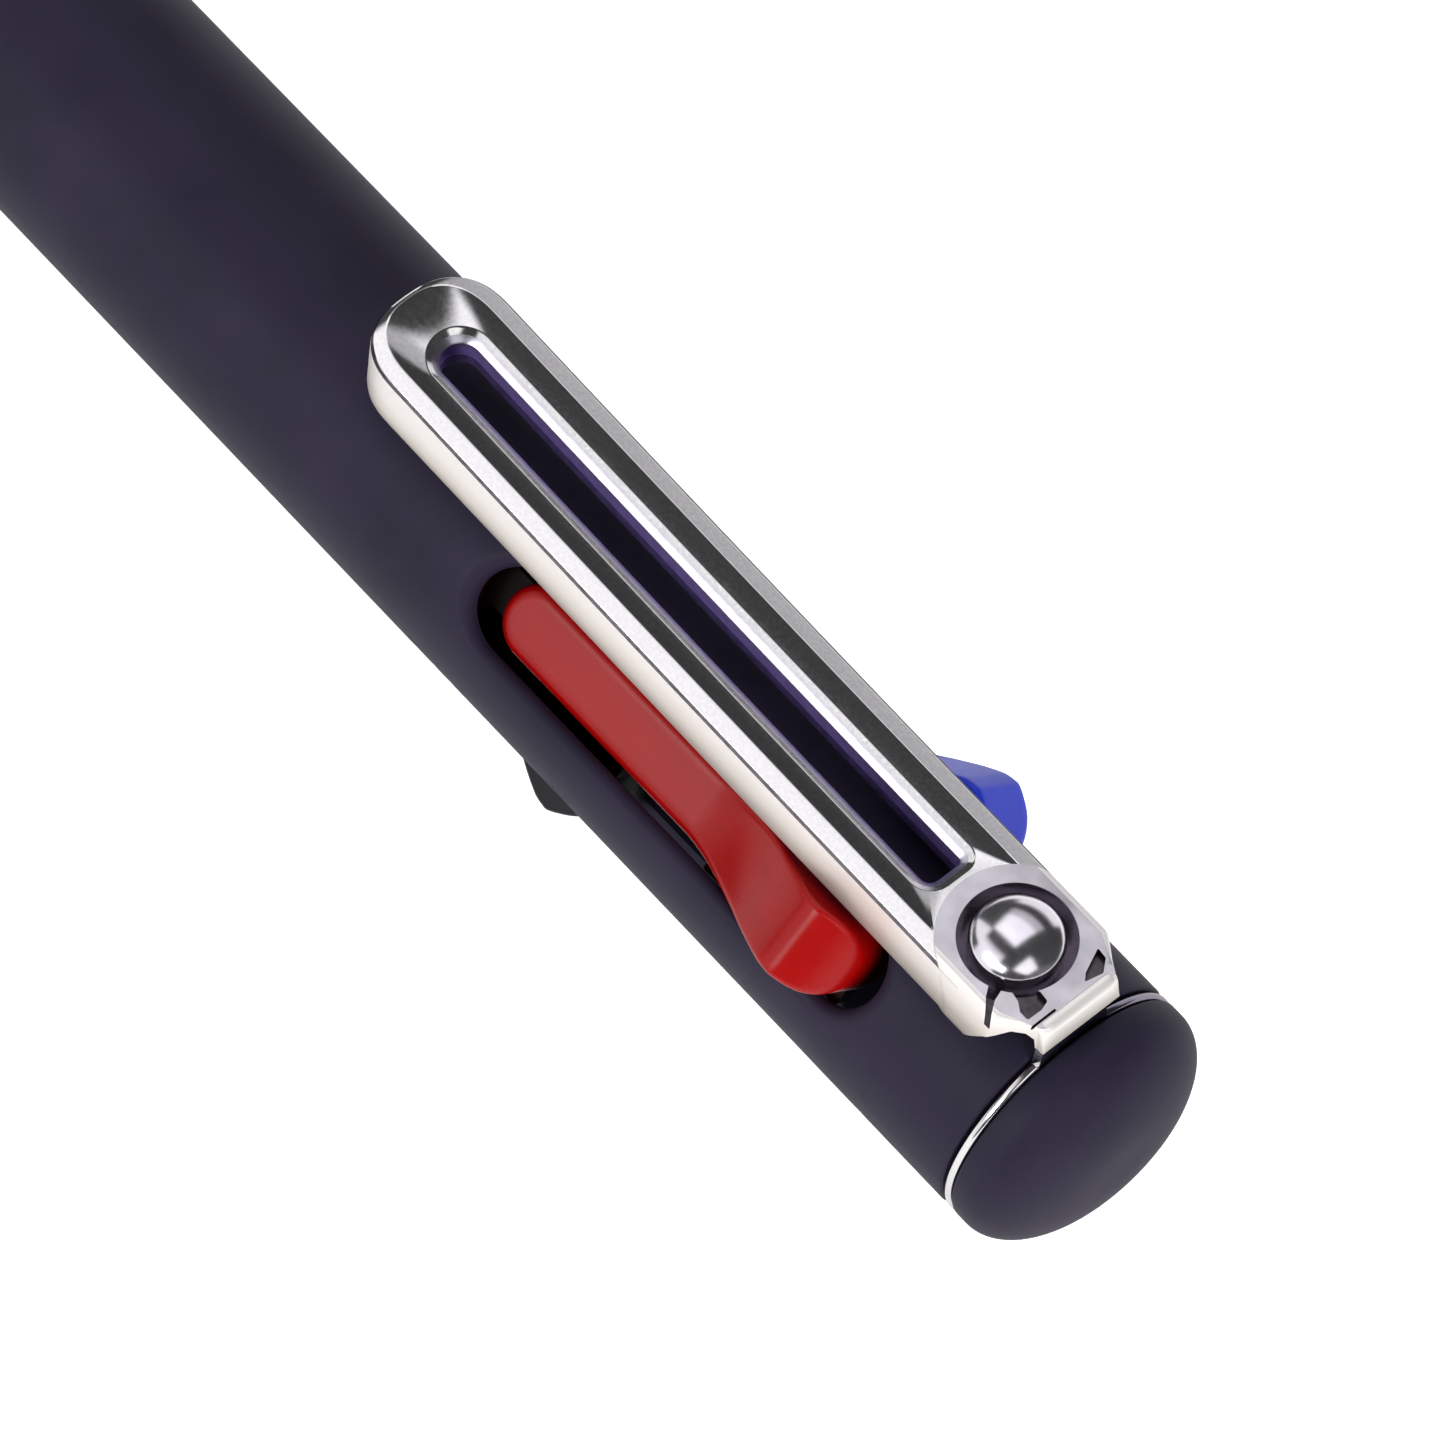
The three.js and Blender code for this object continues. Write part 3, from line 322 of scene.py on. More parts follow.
def grain(sheet, size_mm, detail=3.0, stretch=(1, 1, 1)):
    """A noise whose spots are about size_mm across, longer where stretch is under 1."""
    coordinates = sheet.add("ShaderNodeTexCoord").out("Object")
    turned_in = sheet.add("ShaderNodeMapping", {"Vector": coordinates, "Scale": stretch})
    inputs = {"Vector": turned_in, "Scale": 1 / (size_mm * MM), "Detail": detail, "Roughness": 0.55}
    return sheet.add("ShaderNodeTexNoise", inputs)


def feed(sheet, **links):
    """Links fields to the surface. An underscore stands for the space in a socket's name."""
    for name, field in links.items():
        sheet.tree.links.new(field.socket, sheet.surface.inputs[name.replace("_", " ")])


def bumped(sheet, height, depth_mm, strength=0.4):
    inputs = {"Height": height, "Distance": depth_mm * MM, "Strength": strength}
    feed(sheet, Normal=sheet.add("ShaderNodeBump", inputs))


# %% [markdown]
# The casing is soft-touch lacquer over plastic: deep navy, nearly without gloss, with a faint cloudy
# unevenness and a very fine orange-peel that keeps its highlights soft.

# %% Soft-touch navy
casing_finish, sheet = finish("soft_touch_navy", specular=0.15)
clouds, speckle = grain(sheet, 6.0, 4.0), grain(sheet, 0.12, 2.0)
feed(sheet, Base_Color=sheet.ramp(clouds, [(0.25, colour(36, 32, 49)), (0.75, colour(46, 41, 61))]))
feed(sheet, Roughness=0.46 + speckle * 0.12)
bumped(sheet, speckle, 0.004, 0.5)

# %% [markdown]
# The clip and the nose are plated. Plating over a stamped part is never quite mirror flat: it has a
# slight grain and long drawing lines along the pen. Painted shade darkens the metal in creases, in
# hollows, on the head's top and on the slot's walls, and violet is painted low in the slot as a
# reflection of the blue barrel.

# %% Plated metal, tinted metal and painted shade
chrome_finish, sheet = finish("plated_chrome", 1.0)
fine, drawn = grain(sheet, 0.16), grain(sheet, 0.25, 2.0, ALONG_PEN)
feed(sheet, Base_Color=sheet.ramp(fine, [(0.3, (0.74, 0.735, 0.75)), (0.7, (0.86, 0.85, 0.845))]))
feed(sheet, Roughness=0.05 + fine * 0.07 + drawn * 0.05)
bumped(sheet, fine * 0.6 + drawn * 0.4, 0.002, 0.5)


# Metal of a given colour: a tint for the rivet, and painted shade or painted reflection elsewhere.
def tinted_metal_or_painted_shade(name, light, dark, roughness, haze_mm=0.4):
    material, sheet = finish(name, 1.0)
    haze = grain(sheet, haze_mm, 2.0)
    feed(sheet, Base_Color=sheet.ramp(haze, [(0.3, dark), (0.7, light)]))
    feed(sheet, Roughness=roughness - 0.03 + haze * 0.06)
    return material


rivet_finish = tinted_metal_or_painted_shade("smoked_nickel", (0.90, 0.87, 0.93), (0.84, 0.81, 0.88), 0.17)
# Painted shade: a dark line along the clip's crease, and the lining of the fold hollows and the arch.
painted_crease_shade = tinted_metal_or_painted_shade("crease_shade", (0.10, 0.09, 0.10), (0.06, 0.055, 0.06), 0.3)
# Painted shade on the floor of the rivet's recess.
painted_recess_shade = tinted_metal_or_painted_shade("recess_shade", (0.10, 0.08, 0.11), (0.07, 0.06, 0.08), 0.25)
# Painted shade: the head's top round the recess is darker than the chrome, for its dull reflection.
painted_head_top_shade = tinted_metal_or_painted_shade("head_top_painted_shade", (0.60, 0.585, 0.63), (0.44, 0.43, 0.47), 0.16, 1.6)
# Painted shade: lavender on the upper rows of the slot's walls, below the white edge.
painted_slot_shade = tinted_metal_or_painted_shade("slot_wall_painted_shade", (0.66, 0.64, 0.72), (0.56, 0.54, 0.63), 0.3)
# Painted reflection and shade: violet for the blue barrel seen low in the slot, darker downwards.
painted_violet_reflections = [
    tinted_metal_or_painted_shade("slot_shade_high", (0.42, 0.32, 0.66), (0.36, 0.27, 0.60), 0.5),
    tinted_metal_or_painted_shade("slot_shade_middle", (0.42, 0.31, 0.80), (0.35, 0.25, 0.70), 0.5),
    tinted_metal_or_painted_shade("slot_shade_low", (0.20, 0.15, 0.40), (0.15, 0.11, 0.32), 0.5),
]

# %% [markdown]
# The seam ring is painted darker on its far side, as shade. The clip's flanks are satin, not mirror
# bright, and painted shade darkens them towards the barrel: it follows the height.

# %% Seam ring and satin flank, with painted shade
ring_finish, sheet = finish("seam_plating_painted_shade", 1.0)
smear = grain(sheet, 0.3, 2.0)
# Painted shade: the ring gets darker across Y, towards its +Y side.
far_side_painted_shade = sheet.along("Y") / (6.0 * MM) * 0.5 + 0.5 + smear * 0.06
feed(sheet, Base_Color=sheet.ramp(far_side_painted_shade, [
    (0.35, (0.86, 0.85, 0.86)), (0.6, (0.30, 0.28, 0.34)), (1.0, (0.22, 0.20, 0.26)),
]))
feed(sheet, Roughness=0.08 + smear * 0.12)

flank_painted_shade, sheet = finish("satin_flank_painted_shade", 0.45)
drawn = grain(sheet, 0.25, 2.0, ALONG_PEN)
# Painted shade: the flanks' colour darkens with the height towards the barrel.
rise = (sheet.along("Z") - (AXIS + 6.1 * MM)) / (3.1 * MM) + drawn * 0.06
feed(sheet, Base_Color=sheet.ramp(rise, [
    (0.0, (0.20, 0.17, 0.16)), (0.12, (0.42, 0.38, 0.34)), (0.35, (0.52, 0.47, 0.42)),
    (0.6, (0.80, 0.75, 0.69)), (0.85, (0.95, 0.90, 0.86)), (1.0, (0.95, 0.92, 0.89)),
]))
feed(sheet, Roughness=0.34 + drawn * 0.12)

# %% [markdown]
# Each slider is moulded in its ink's colour. Moulded plastic has a light satin from the mould's
# texture, and the colour is a touch deeper in the grain's low spots. Inside the barrel no light
# reaches the plastic, so painted shade darkens it with its distance from the barrel's surface, the
# strip's rolled edges a little too, and the hidden parts below the slot get darker, shaded copies
# of each plastic.

# %% Slider plastics
SHADE_FROM, SHADE_TO, SHADE_LIGHT = 4.38, 4.70, 0.16
PLASTICS = {
    "red": ((170, 5, 4), (156, 3, 3), 0.28, 0.34),
    "blue": ((44, 68, 225), (38, 58, 200), 0.3, 0.2),
    "black": ((40, 40, 44), (30, 30, 34), 0.34, 0.16),
    "green": ((24, 118, 58), (16, 98, 46), 0.34, 0.16),
}
SHADED_INSIDE_PLASTICS = {
    "red": ((52, 3, 3), (40, 2, 2)), "blue": ((16, 20, 62), (12, 16, 50)),
    "black": ((20, 20, 22), (15, 15, 17)), "green": ((10, 36, 20), (8, 30, 16)),
}


def moulded(name, base, deep, roughness, specular):
    material, sheet = finish(name, specular=specular)
    flow, texture = grain(sheet, 2.5, 3.0, (0.4, 1, 1)), grain(sheet, 0.08, 2.0)
    sideways, upwards = sheet.along("Y"), sheet.along("Z") - AXIS
    radius = sideways.maths("SQRT", sideways * sideways + upwards * upwards)
    dark = [SHADE_LIGHT * channel for channel in colour(*deep)]
    plain = sheet.ramp(flow, [(0.25, colour(*deep)), (0.75, colour(*base))])
    # Painted shade: dark where the surface lies close to the axis, full colour from the strip's top out.
    shown = sheet.step(radius, SHADE_FROM * MM, SHADE_TO * MM)
    feed(sheet, Base_Color=sheet.mix(shown, dark, plain), Roughness=roughness - 0.04 + texture * 0.1)
    bumped(sheet, texture, 0.003)
    return material


slider_finish, inner_painted_shade = {}, {}
for name, values in PLASTICS.items():
    slider_finish[name] = moulded(f"{name}_plastic", *values)
    inner_painted_shade[name] = moulded(f"{name}_inside", *SHADED_INSIDE_PLASTICS[name], 0.5, 0.1)
# The inner frame's dark plastic stands in for the shade inside the barrel, and painted shade darkens it
# further.
frame_finish = moulded("dark_plastic", (34, 33, 38), (26, 25, 30), 0.45, 0.16)

# %% [markdown]
# A refill is a clear tube, so what shows is its ink. The colour runs from the tip up to the ink's
# level and the tube is milky above it. The level is a step in X, softened over a millimetre.

# %% Ink, brass and spring wire
TRAVEL, DIP = 14.3, 1.1
INK_LEVEL = 0.018
MILKY = colour(206, 205, 200)
INKS = {"red": (150, 26, 28), "blue": (34, 42, 130), "black": (26, 26, 30), "green": (24, 96, 52)}


def ink_in_tube(name, ink, level):
    material, sheet = finish(name, 0.0, 0.3)
    wander = grain(sheet, 1.5, 2.0)
    filled = sheet.step(sheet.along("X") + wander * MM, level - MM, level)
    feed(sheet, Base_Color=sheet.mix(filled, colour(*ink), MILKY), Roughness=0.16 + wander * 0.12)
    return material


def metal(name, light, dark, roughness, size_mm, stretch=(1, 1, 1)):
    material, sheet = finish(name, 1.0)
    lines = grain(sheet, size_mm, 3.0, stretch)
    feed(sheet, Base_Color=sheet.ramp(lines, [(0.3, dark), (0.7, light)]))
    feed(sheet, Roughness=roughness - 0.06 + lines * 0.14)
    bumped(sheet, lines, 0.002)
    return material


refill_finish = {}
for name, ink in INKS.items():
    level = INK_LEVEL - (TRAVEL * MM if name == "black" else 0)
    refill_finish[name] = ink_in_tube(f"{name}_ink_tube", ink, level)
brass_finish = metal("turned_brass", (0.72, 0.55, 0.27), (0.6, 0.44, 0.2), 0.26, 0.3, (3, 1, 1))
wire_finish = metal("spring_wire", (0.68, 0.69, 0.71), (0.5, 0.51, 0.53), 0.28, 0.2)
print("finishes:", len(bpy.data.materials))

# %% [markdown]
# Meshes come from plain lists of points. These helpers skin a row of loops with quads, clean the
# result, point its faces outwards and shade it smooth except over real edges.

# %% Mesh helpers


def skin(loops, closed=False, ends=False):
    """Quads from each loop of points to the next and, if asked, a face over each end."""
    count = len(loops[0])
    total = count * len(loops)
    faces = []
    for here in range(0, total if closed else total - count, count):
        there = (here + count) % total
        for i in range(count):
            following = (i + 1) % count
            faces.append((here + i, here + following, there + following, there + i))
    if ends:
        faces += [tuple(range(count)), tuple(range(total - count, total))]
    return [point for loop in loops for point in loop], faces


def together(*parts):
    points, faces = [], []
    for part_points, part_faces in parts:
        shift = len(points)
        points.extend(part_points)
        faces.extend(tuple(shift + i for i in face) for face in part_faces)
    return points, faces


def mesh_from(shape, material, sharp=32, painted=()):
    """A mesh of a shape. Painted lists further finishes, each with the numbers of its faces."""
    points, faces = shape
    mesh = bpy.data.meshes.new("part")
    mesh.from_pydata([tuple(point) for point in points], [], faces)
    mesh.materials.append(material)
    for number, (other, other_faces) in enumerate(painted, 1):
        mesh.materials.append(other)
        for index in other_faces:
            mesh.polygons[index].material_index = number
    work = bmesh.new()
    work.from_mesh(mesh)
    bmesh.ops.remove_doubles(work, verts=work.verts, dist=0.4e-6)
    bmesh.ops.dissolve_degenerate(work, edges=work.edges, dist=0.3e-6)
    bmesh.ops.recalc_face_normals(work, faces=work.faces)
    work.to_mesh(mesh)
    work.free()
    shade(mesh, sharp)
    return mesh


def shade(mesh, sharp=32):
    mesh.shade_smooth()
    mesh.set_sharp_from_angle(angle=math.radians(sharp))


def dress(name, mesh, body, slot, node):
    """Shows a mesh as a piece that rides on a body and stands for one of the frame's solids."""
    piece = show(name, mesh)
    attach(piece, body)
    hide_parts(node)
    print(f"{name}: {len(mesh.polygons)} faces")


# %% [markdown]
# Turned parts are profiles swept round an axis. Real edges are never knife sharp, so a profile's
# corner can carry a third number, the radius of its fillet.

# %% Profiles with fillets, turned parts


def quarter_arc(steps):
    """Cosine and sine over a quarter turn, from (1, 0) to (0, 1)."""
    angles = [math.pi / 2 * i / steps for i in range(steps + 1)]
    return [(math.cos(angle), math.sin(angle)) for angle in angles]


def filleted(points, steps=5, closed=True):
    result = []
    count = len(points)
    for index, point in enumerate(points):
        here = Vector(point[:2])
        radius = point[2] if len(point) > 2 else 0
        if not radius or (not closed and index in (0, count - 1)):
            result.append(tuple(here))
            continue
        before = (Vector(points[index - 1][:2]) - here).normalized()
        after = (Vector(points[(index + 1) % count][:2]) - here).normalized()
        half_angle = before.angle(after) / 2
        centre = here + (before + after).normalized() * radius / math.sin(half_angle)
        start = here + before * radius / math.tan(half_angle) - centre
        finish_at = here + after * radius / math.tan(half_angle) - centre
        span = start.angle_signed(finish_at)
        for step in range(steps + 1):
            turned_by = Matrix.Rotation(-span * step / steps, 2)
            result.append(tuple(centre + turned_by @ start))
    return result


def turned(profile, sides=128, place=around):
    """Profile of (along, radius) pairs, closed on itself, swept round the pen's axis."""
    angles = [2 * math.pi * i / sides for i in range(sides)]
    loops = [[place(along, radius, angle) for angle in angles] for along, radius in profile]
    return skin(loops, profile[0][1] > 0)


def prism(outline, place, low, high):
    """A closed outline of (a, b) pairs between two levels, with both ends filled."""
    loops = [[place(a, b, level) for a, b in outline] for level in (low, high)]
    return skin(loops, ends=True)


# %% [markdown]
# The upper barrel is a tube with four slots whose rims are rolled over softly. A boolean would leave
# hard rims and stray triangles, so the tube is laid out: round each slot, loops of points
# spread from the slot's outline to a rectangle, four rectangles meet side by side round the tube,
# and plain rings carry on at both ends. The inside is the same net at the bore.

# %% Nets round the slots
BARREL_RADIUS, BORE = 6.0, 5.2
BARREL_FRONT, BARREL_REAR = -75.0, -0.35
SEAT_RADIUS, SEAT_END = 5.3, -67.9
SLOT_FRONT, SLOT_REAR, SLOT_HALF = -31.35, -7.05, 2.0
ROUND_FRONT, ROUND_REAR = SLOT_FRONT + SLOT_HALF, SLOT_REAR - SLOT_HALF
RIM_ROLL, EDGE_ROUND = 0.75, 0.16
COLOUR_ANGLES = {"red": 45, "blue": -45, "black": 135, "green": -135}
NET_HALF = BARREL_RADIUS * math.sin(math.pi / 4)
END_STEPS, SIDE_STEPS = 24, 34


def slot_net():
    """Round one slot: a point on its edge, the way out from it, and a point on the rectangle."""
    net = []
    for centre, other, side in ((ROUND_REAR, ROUND_FRONT, 1), (ROUND_FRONT, ROUND_REAR, -1)):
        for i in range(END_STEPS + 1):
            angle = math.radians(180 * i / END_STEPS - 90 * side)
            way = Vector((math.cos(angle), math.sin(angle)))
            corner = way * NET_HALF / max(abs(way.x), abs(way.y))
            net.append((Vector((centre, 0)) + way * SLOT_HALF, way, Vector((centre, 0)) + corner))
        for i in range(1, SIDE_STEPS):
            along = centre + (other - centre) * i / SIDE_STEPS
            pairs = (along, side * SLOT_HALF), (0, side), (along, side * NET_HALF)
            net.append([Vector(pair) for pair in pairs])
    return net


def slotted_quarter(turn_by):
    net = slot_net()

    def loop(radius, way_out, inward=1.0, share=1.0):
        """The net at a radius: the slot's edge moved out, or a share of the way to the rectangle."""
        points = []
        for edge, way, corner in net:
            point = corner.lerp(edge + way * way_out, share)
            sideways = math.asin(max(-1, min(1, point.y * inward / radius)))
            points.append(around(point.x, radius, turn_by - sideways))
        return points

    loops = [loop(BARREL_RADIUS, RIM_ROLL, 1.0, share) for share in (0, 0.3, 0.55, 0.78, 1)]
    for cosine, sine in quarter_arc(7)[1:]:
        loops.append(loop(BARREL_RADIUS - RIM_ROLL * (1 - cosine), RIM_ROLL * (1 - sine)))
    loops += [loop(BORE, 0.0), loop(BORE, 0.0, BORE / BARREL_RADIUS, 0.0)]
    return skin(loops)


# %% [markdown]
# In front of the slots and behind them the tube is plain. Its rings have their points where the
# rectangles have theirs, so the parts close up when their doubles are merged.

# %% Upper barrel


def barrel_end(profile):
    angles = []
    for quarter in (45, -45, -135, 135):
        for i in range(END_STEPS // 2):
            step = math.radians(-45 + 90 * i / (END_STEPS // 2))
            angles.append(math.radians(quarter) - math.asin(NET_HALF * math.tan(step) / BARREL_RADIUS))
    rounded = filleted(profile, closed=False)
    return skin([[around(along, radius, angle) for angle in angles] for along, radius in rounded])


front, rear = ROUND_FRONT - NET_HALF, ROUND_REAR + NET_HALF
barrel_parts = [slotted_quarter(math.radians(angle)) for angle in COLOUR_ANGLES.values()]
barrel_parts.append(barrel_end([
    (front, BARREL_RADIUS), (-45, BARREL_RADIUS), (-60, BARREL_RADIUS),
    (BARREL_FRONT, BARREL_RADIUS, EDGE_ROUND), (BARREL_FRONT, SEAT_RADIUS), (SEAT_END, SEAT_RADIUS),
    (SEAT_END, BORE), (front, BORE),
]))
barrel_parts.append(barrel_end([
    (rear, BARREL_RADIUS), (-2, BARREL_RADIUS), (BARREL_REAR, BARREL_RADIUS, EDGE_ROUND),
    (BARREL_REAR, BORE), (rear, BORE),
]))
barrel = mesh_from(together(*barrel_parts), casing_finish)
dress("barrel_with_slots", barrel, "casing", "casing", "upper_barrel")

# %% [markdown]
# The lower barrel, the end cap, the trim ring and the nose cone are plain turned parts. The cap is a
# short cylinder that closes in an elliptical dome, and the nose swells a little before it narrows.

# %% Turned parts of the outside
LOWER_REAR, LOWER_FRONT = -76.6, -122.6
LOWER_STRAIGHT, LOWER_TIP_RADIUS, LOWER_BORE = 24.0, 5.4, 4.8
CAP_START, CAP_LENGTH, CAP_STRAIGHT, CROWN_FLAT, CAP_BORE = 0.25, 3.5, 0.7, 1.2, 4.9
NOSE_REAR, NOSE_LENGTH, NOSE_TIP_RADIUS, NOSE_BULGE = -122.7, 13.8, 2.2, 0.62
TRIM_REAR, TRIM_FRONT, TRIM_RADIUS = -75.1, -76.5, 6.12


def lower_barrel_profile():
    taper = LOWER_REAR - LOWER_STRAIGHT
    outer = []
    for i in range(24):
        share = i / 24
        radius = BARREL_RADIUS + (LOWER_TIP_RADIUS - BARREL_RADIUS) * share ** 1.6
        outer.append((taper + (LOWER_FRONT - taper) * share, radius))
    return filleted([
        (LOWER_REAR, SEAT_RADIUS), (LOWER_REAR, BARREL_RADIUS, EDGE_ROUND), (-90, BARREL_RADIUS), *outer,
        (LOWER_FRONT, LOWER_TIP_RADIUS, 0.1), (LOWER_FRONT, 4.6), (-118.0, 4.6), (-117.8, LOWER_BORE),
        (-83.0, LOWER_BORE), (-83.0, SEAT_RADIUS),
    ])


def cap_profile():
    apex = CAP_START + CAP_LENGTH
    start = CAP_START + CAP_STRAIGHT
    rise, fall = apex - start, BARREL_RADIUS - CROWN_FLAT
    dome = [(start + rise * sine, CROWN_FLAT + fall * cosine) for cosine, sine in quarter_arc(24)]
    floor_at = CAP_START + 1.9
    return filleted([
        (apex, 0), *reversed(dome), (CAP_START, BARREL_RADIUS, EDGE_ROUND), (CAP_START, CAP_BORE),
        (floor_at, CAP_BORE), (floor_at, 0),
    ])


def nose_profile():
    outer = []
    for i in range(1, 24):
        share = i / 24
        straight = LOWER_TIP_RADIUS + (NOSE_TIP_RADIUS - LOWER_TIP_RADIUS) * share
        outer.append((NOSE_REAR - NOSE_LENGTH * share, straight + NOSE_BULGE * math.sin(math.pi * share)))
    front = NOSE_REAR - NOSE_LENGTH
    return filleted([
        (NOSE_REAR + 4.5, 3.75), (NOSE_REAR + 4.5, 4.5, 0.1), (NOSE_REAR, 4.5),
        (NOSE_REAR, LOWER_TIP_RADIUS, 0.1), *outer, (front, NOSE_TIP_RADIUS, 0.3), (front, 1.6, 0.1),
        (front + 6.8, 2.72),
    ])


trim_profile = filleted([
    (TRIM_REAR, SEAT_RADIUS), (TRIM_REAR, TRIM_RADIUS, 0.2), (TRIM_FRONT, TRIM_RADIUS, 0.2),
    (TRIM_FRONT, SEAT_RADIUS),
])
TURNED_PARTS = [
    ("lower_casing", lower_barrel_profile(), 128, 32, casing_finish, "front_half", "lower_barrel"),
    ("domed_cap", cap_profile(), 160, 60, casing_finish, "casing", "end_cap"),
    ("nose", nose_profile(), 128, 32, chrome_finish, "front_half", "nose_cone"),
    ("bright_ring", trim_profile, 128, 32, chrome_finish, "trim", "trim_ring"),
]
for name, profile, sides, sharp, material, body, node in TURNED_PARTS:
    slot = "casing" if material is casing_finish else "chrome"
    dress(name, mesh_from(turned(profile, sides), material, sharp), body, slot, node)

# %% [markdown]
# The ring in the seam is thin sheet with an ear that stands up and carries the clip. The ear's foot
# is cut from the same sheet, so both share a thickness.

# %% Seam ring with its ear
RING_HALF, RING_BORE = 0.2, 4.3
EAR_HEIGHT, EAR_HALF, EAR_FOOT_HALF = 7.5, 1.6, 1.9
ring_profile = filleted([
    (RING_HALF, RING_BORE), (RING_HALF, BARREL_RADIUS, 0.18), (-RING_HALF, BARREL_RADIUS, 0.18),
    (-RING_HALF, RING_BORE),
])
ear_outline = filleted([
    (-EAR_FOOT_HALF, 5.2), (EAR_FOOT_HALF, 5.2), (EAR_HALF, EAR_HEIGHT, 0.2), (-EAR_HALF, EAR_HEIGHT, 0.2),
])
ear = prism(ear_outline, lambda across, height, along: at(along, across, height), -RING_HALF, RING_HALF)
seam_ring = together(turned(ring_profile, 160), ear)
dress("seam_ring", mesh_from(seam_ring, ring_finish), "casing", "chrome", "clip_ring")

# %% [markdown]
# The clip is the piece that everyone looks at. It is a stamped channel: walls that come down to the
# barrel, a bevel, a flat that dips towards the long slot, and a soft edge into the slot. All of these
# follow the same outline at different insets, so the channel is skinned over nested loops. First
# comes the outline. It has as many points at every size, and the tip is a rounded square.

# %% Clip outlines
CLIP_TIP, CLIP_HALF, TIP_ROUND, CLIP_REAR = -41.05, 3.0, 3.05, -3.45
CLIP_HEIGHT, CLIP_FOOT, FOOT_RISE, BOW_OVER = 8.93, 6.15, 0.8, 37.3
SLOT_TIP, SLOT_BACK, WINDOW_HALF = -38.3, -7.65, 0.9
HOLLOW, RIDGE_REAR = 0.65, -5.9
OUTLINE_STEPS = 40


def clip_height(along):
    return CLIP_HEIGHT + (max(-along, 0) / BOW_OVER) ** 1.9


def wall_foot(along):
    return CLIP_FOOT + FOOT_RISE * (max(-along, 0) / BOW_OVER) ** 1.5


def squircle(angle, squareness):
    """Cosine and sine of an angle on a rounded square. With a squareness of 2 it is a circle."""
    sides = math.cos(angle), math.sin(angle)
    return [math.copysign(abs(side) ** (2 / squareness), side) for side in sides]


def clip_outline(half, tip, tip_round, squareness, rear, corners):
    """Side, tip, side and rear of an outline as (along, across), with as many points every time."""
    shoulder = tip + tip_round
    far, near = rear - corners[0], rear - corners[1]
    shares = [i / OUTLINE_STEPS for i in range(OUTLINE_STEPS)]
    points = [(far + (shoulder - far) * share, half) for share in shares]
    for share in shares:
        width, reach = squircle(math.pi * share, squareness)
        points.append((shoulder - tip_round * reach, half * width))
    points += [(shoulder + (near - shoulder) * share, -half) for share in shares]
    for side, corner in ((-1, corners[1]), (1, corners[0])):
        for cosine, sine in quarter_arc(6)[::-side]:
            points.append((rear - corner + corner * sine, side * (half - corner + corner * cosine)))
    return points


# %% [markdown]
# A crease is a few loops close to each other, and its narrow strips catch a line of light. The tables
# give each loop's inset at the sides and at the tip, and its height over the wall's foot or against
# the top. By the row of faces, the crease gets a dark line of painted shade, the flanks painted shade
# by height, and the slot's walls painted shade and a painted violet reflection.

# %% Clip channel
FROM_FOOT = [
    (0.0, 0.12, 0.0), (-0.15, 0.06, 0.03), (-0.22, 0.03, 0.10), (-0.28, 0.01, 0.25), (-0.30, 0.0, 0.45),
    (-0.27, 0.0, 0.9),
]
UP_TO_TOP = [(-0.21, 0.0, -1.2), (-0.16, 0.0, -0.7), (-0.13, 0.0, -0.3), (-0.11, 0.02, -0.14)]
BEVEL = [(0.0, 0.08, -0.03), (0.03, 0.1, 0.0), (0.64, 0.26, 0.115)]
RIDGE = [(0.68, 0.3, 0.125), (0.73, 0.35, 0.115), (0.78, 0.4, 0.09)]
WINDOW = [
    (0.60, -0.13), (0.55, -0.145), (0.50, -0.18), (0.30, -0.31), (0.06, -0.45), (0.0, -0.52), (0.0, -0.90),
    (0.0, -1.40), (0.0, -2.00),
]


def clip_loop(inset, tip_inset, rise, base=clip_height, rear=CLIP_REAR):
    tip = CLIP_TIP + tip_inset
    outline = clip_outline(CLIP_HALF - inset, tip, TIP_ROUND - tip_inset, 2.5, rear, (0.02, 0.02))
    return [at(along, across, base(along) + rise) for along, across in outline]


def window_loop(growth, rise):
    half, corners = WINDOW_HALF + growth, (0.2 + growth, 0.5 + growth)
    outline = clip_outline(half, SLOT_TIP - growth, half, 2, SLOT_BACK + growth, corners)
    return [at(along, across, clip_height(along) + rise) for along, across in outline]


def clip_channel():
    """The channel's shape, and painted shade or painted reflection for some of its rows of faces."""
    loops = [clip_loop(*row, wall_foot) for row in FROM_FOOT]
    loops += [clip_loop(*row) for row in UP_TO_TOP]
    crease = len(loops) - 1
    loops += [clip_loop(*row) for row in BEVEL]
    loops += [clip_loop(*row, rear=RIDGE_REAR) for row in RIDGE]
    loops += [window_loop(*row) for row in WINDOW]
    loops += [clip_loop(HOLLOW, HOLLOW, -1.20), clip_loop(HOLLOW, HOLLOW, 0.0, wall_foot)]
    slot = crease + 10
    rows = [(painted_crease_shade, crease, crease + 1), (flank_painted_shade, 0, crease), (painted_slot_shade, slot, slot + 2)]
    rows += [(violet, row, row + 1) for row, violet in enumerate(painted_violet_reflections, slot + 2)]
    count = len(loops[0])
    return skin(loops, True), [(shown, range(low * count, high * count)) for shown, low, high in rows]


# %% [markdown]
# At its rear the clip swells into a head: a flat top over flanks that flare down to the barrel. From
# above, the head is a round boss in front that runs on into a narrower rear. The outline has as many
# points at every height, so the head is skinned like the channel.

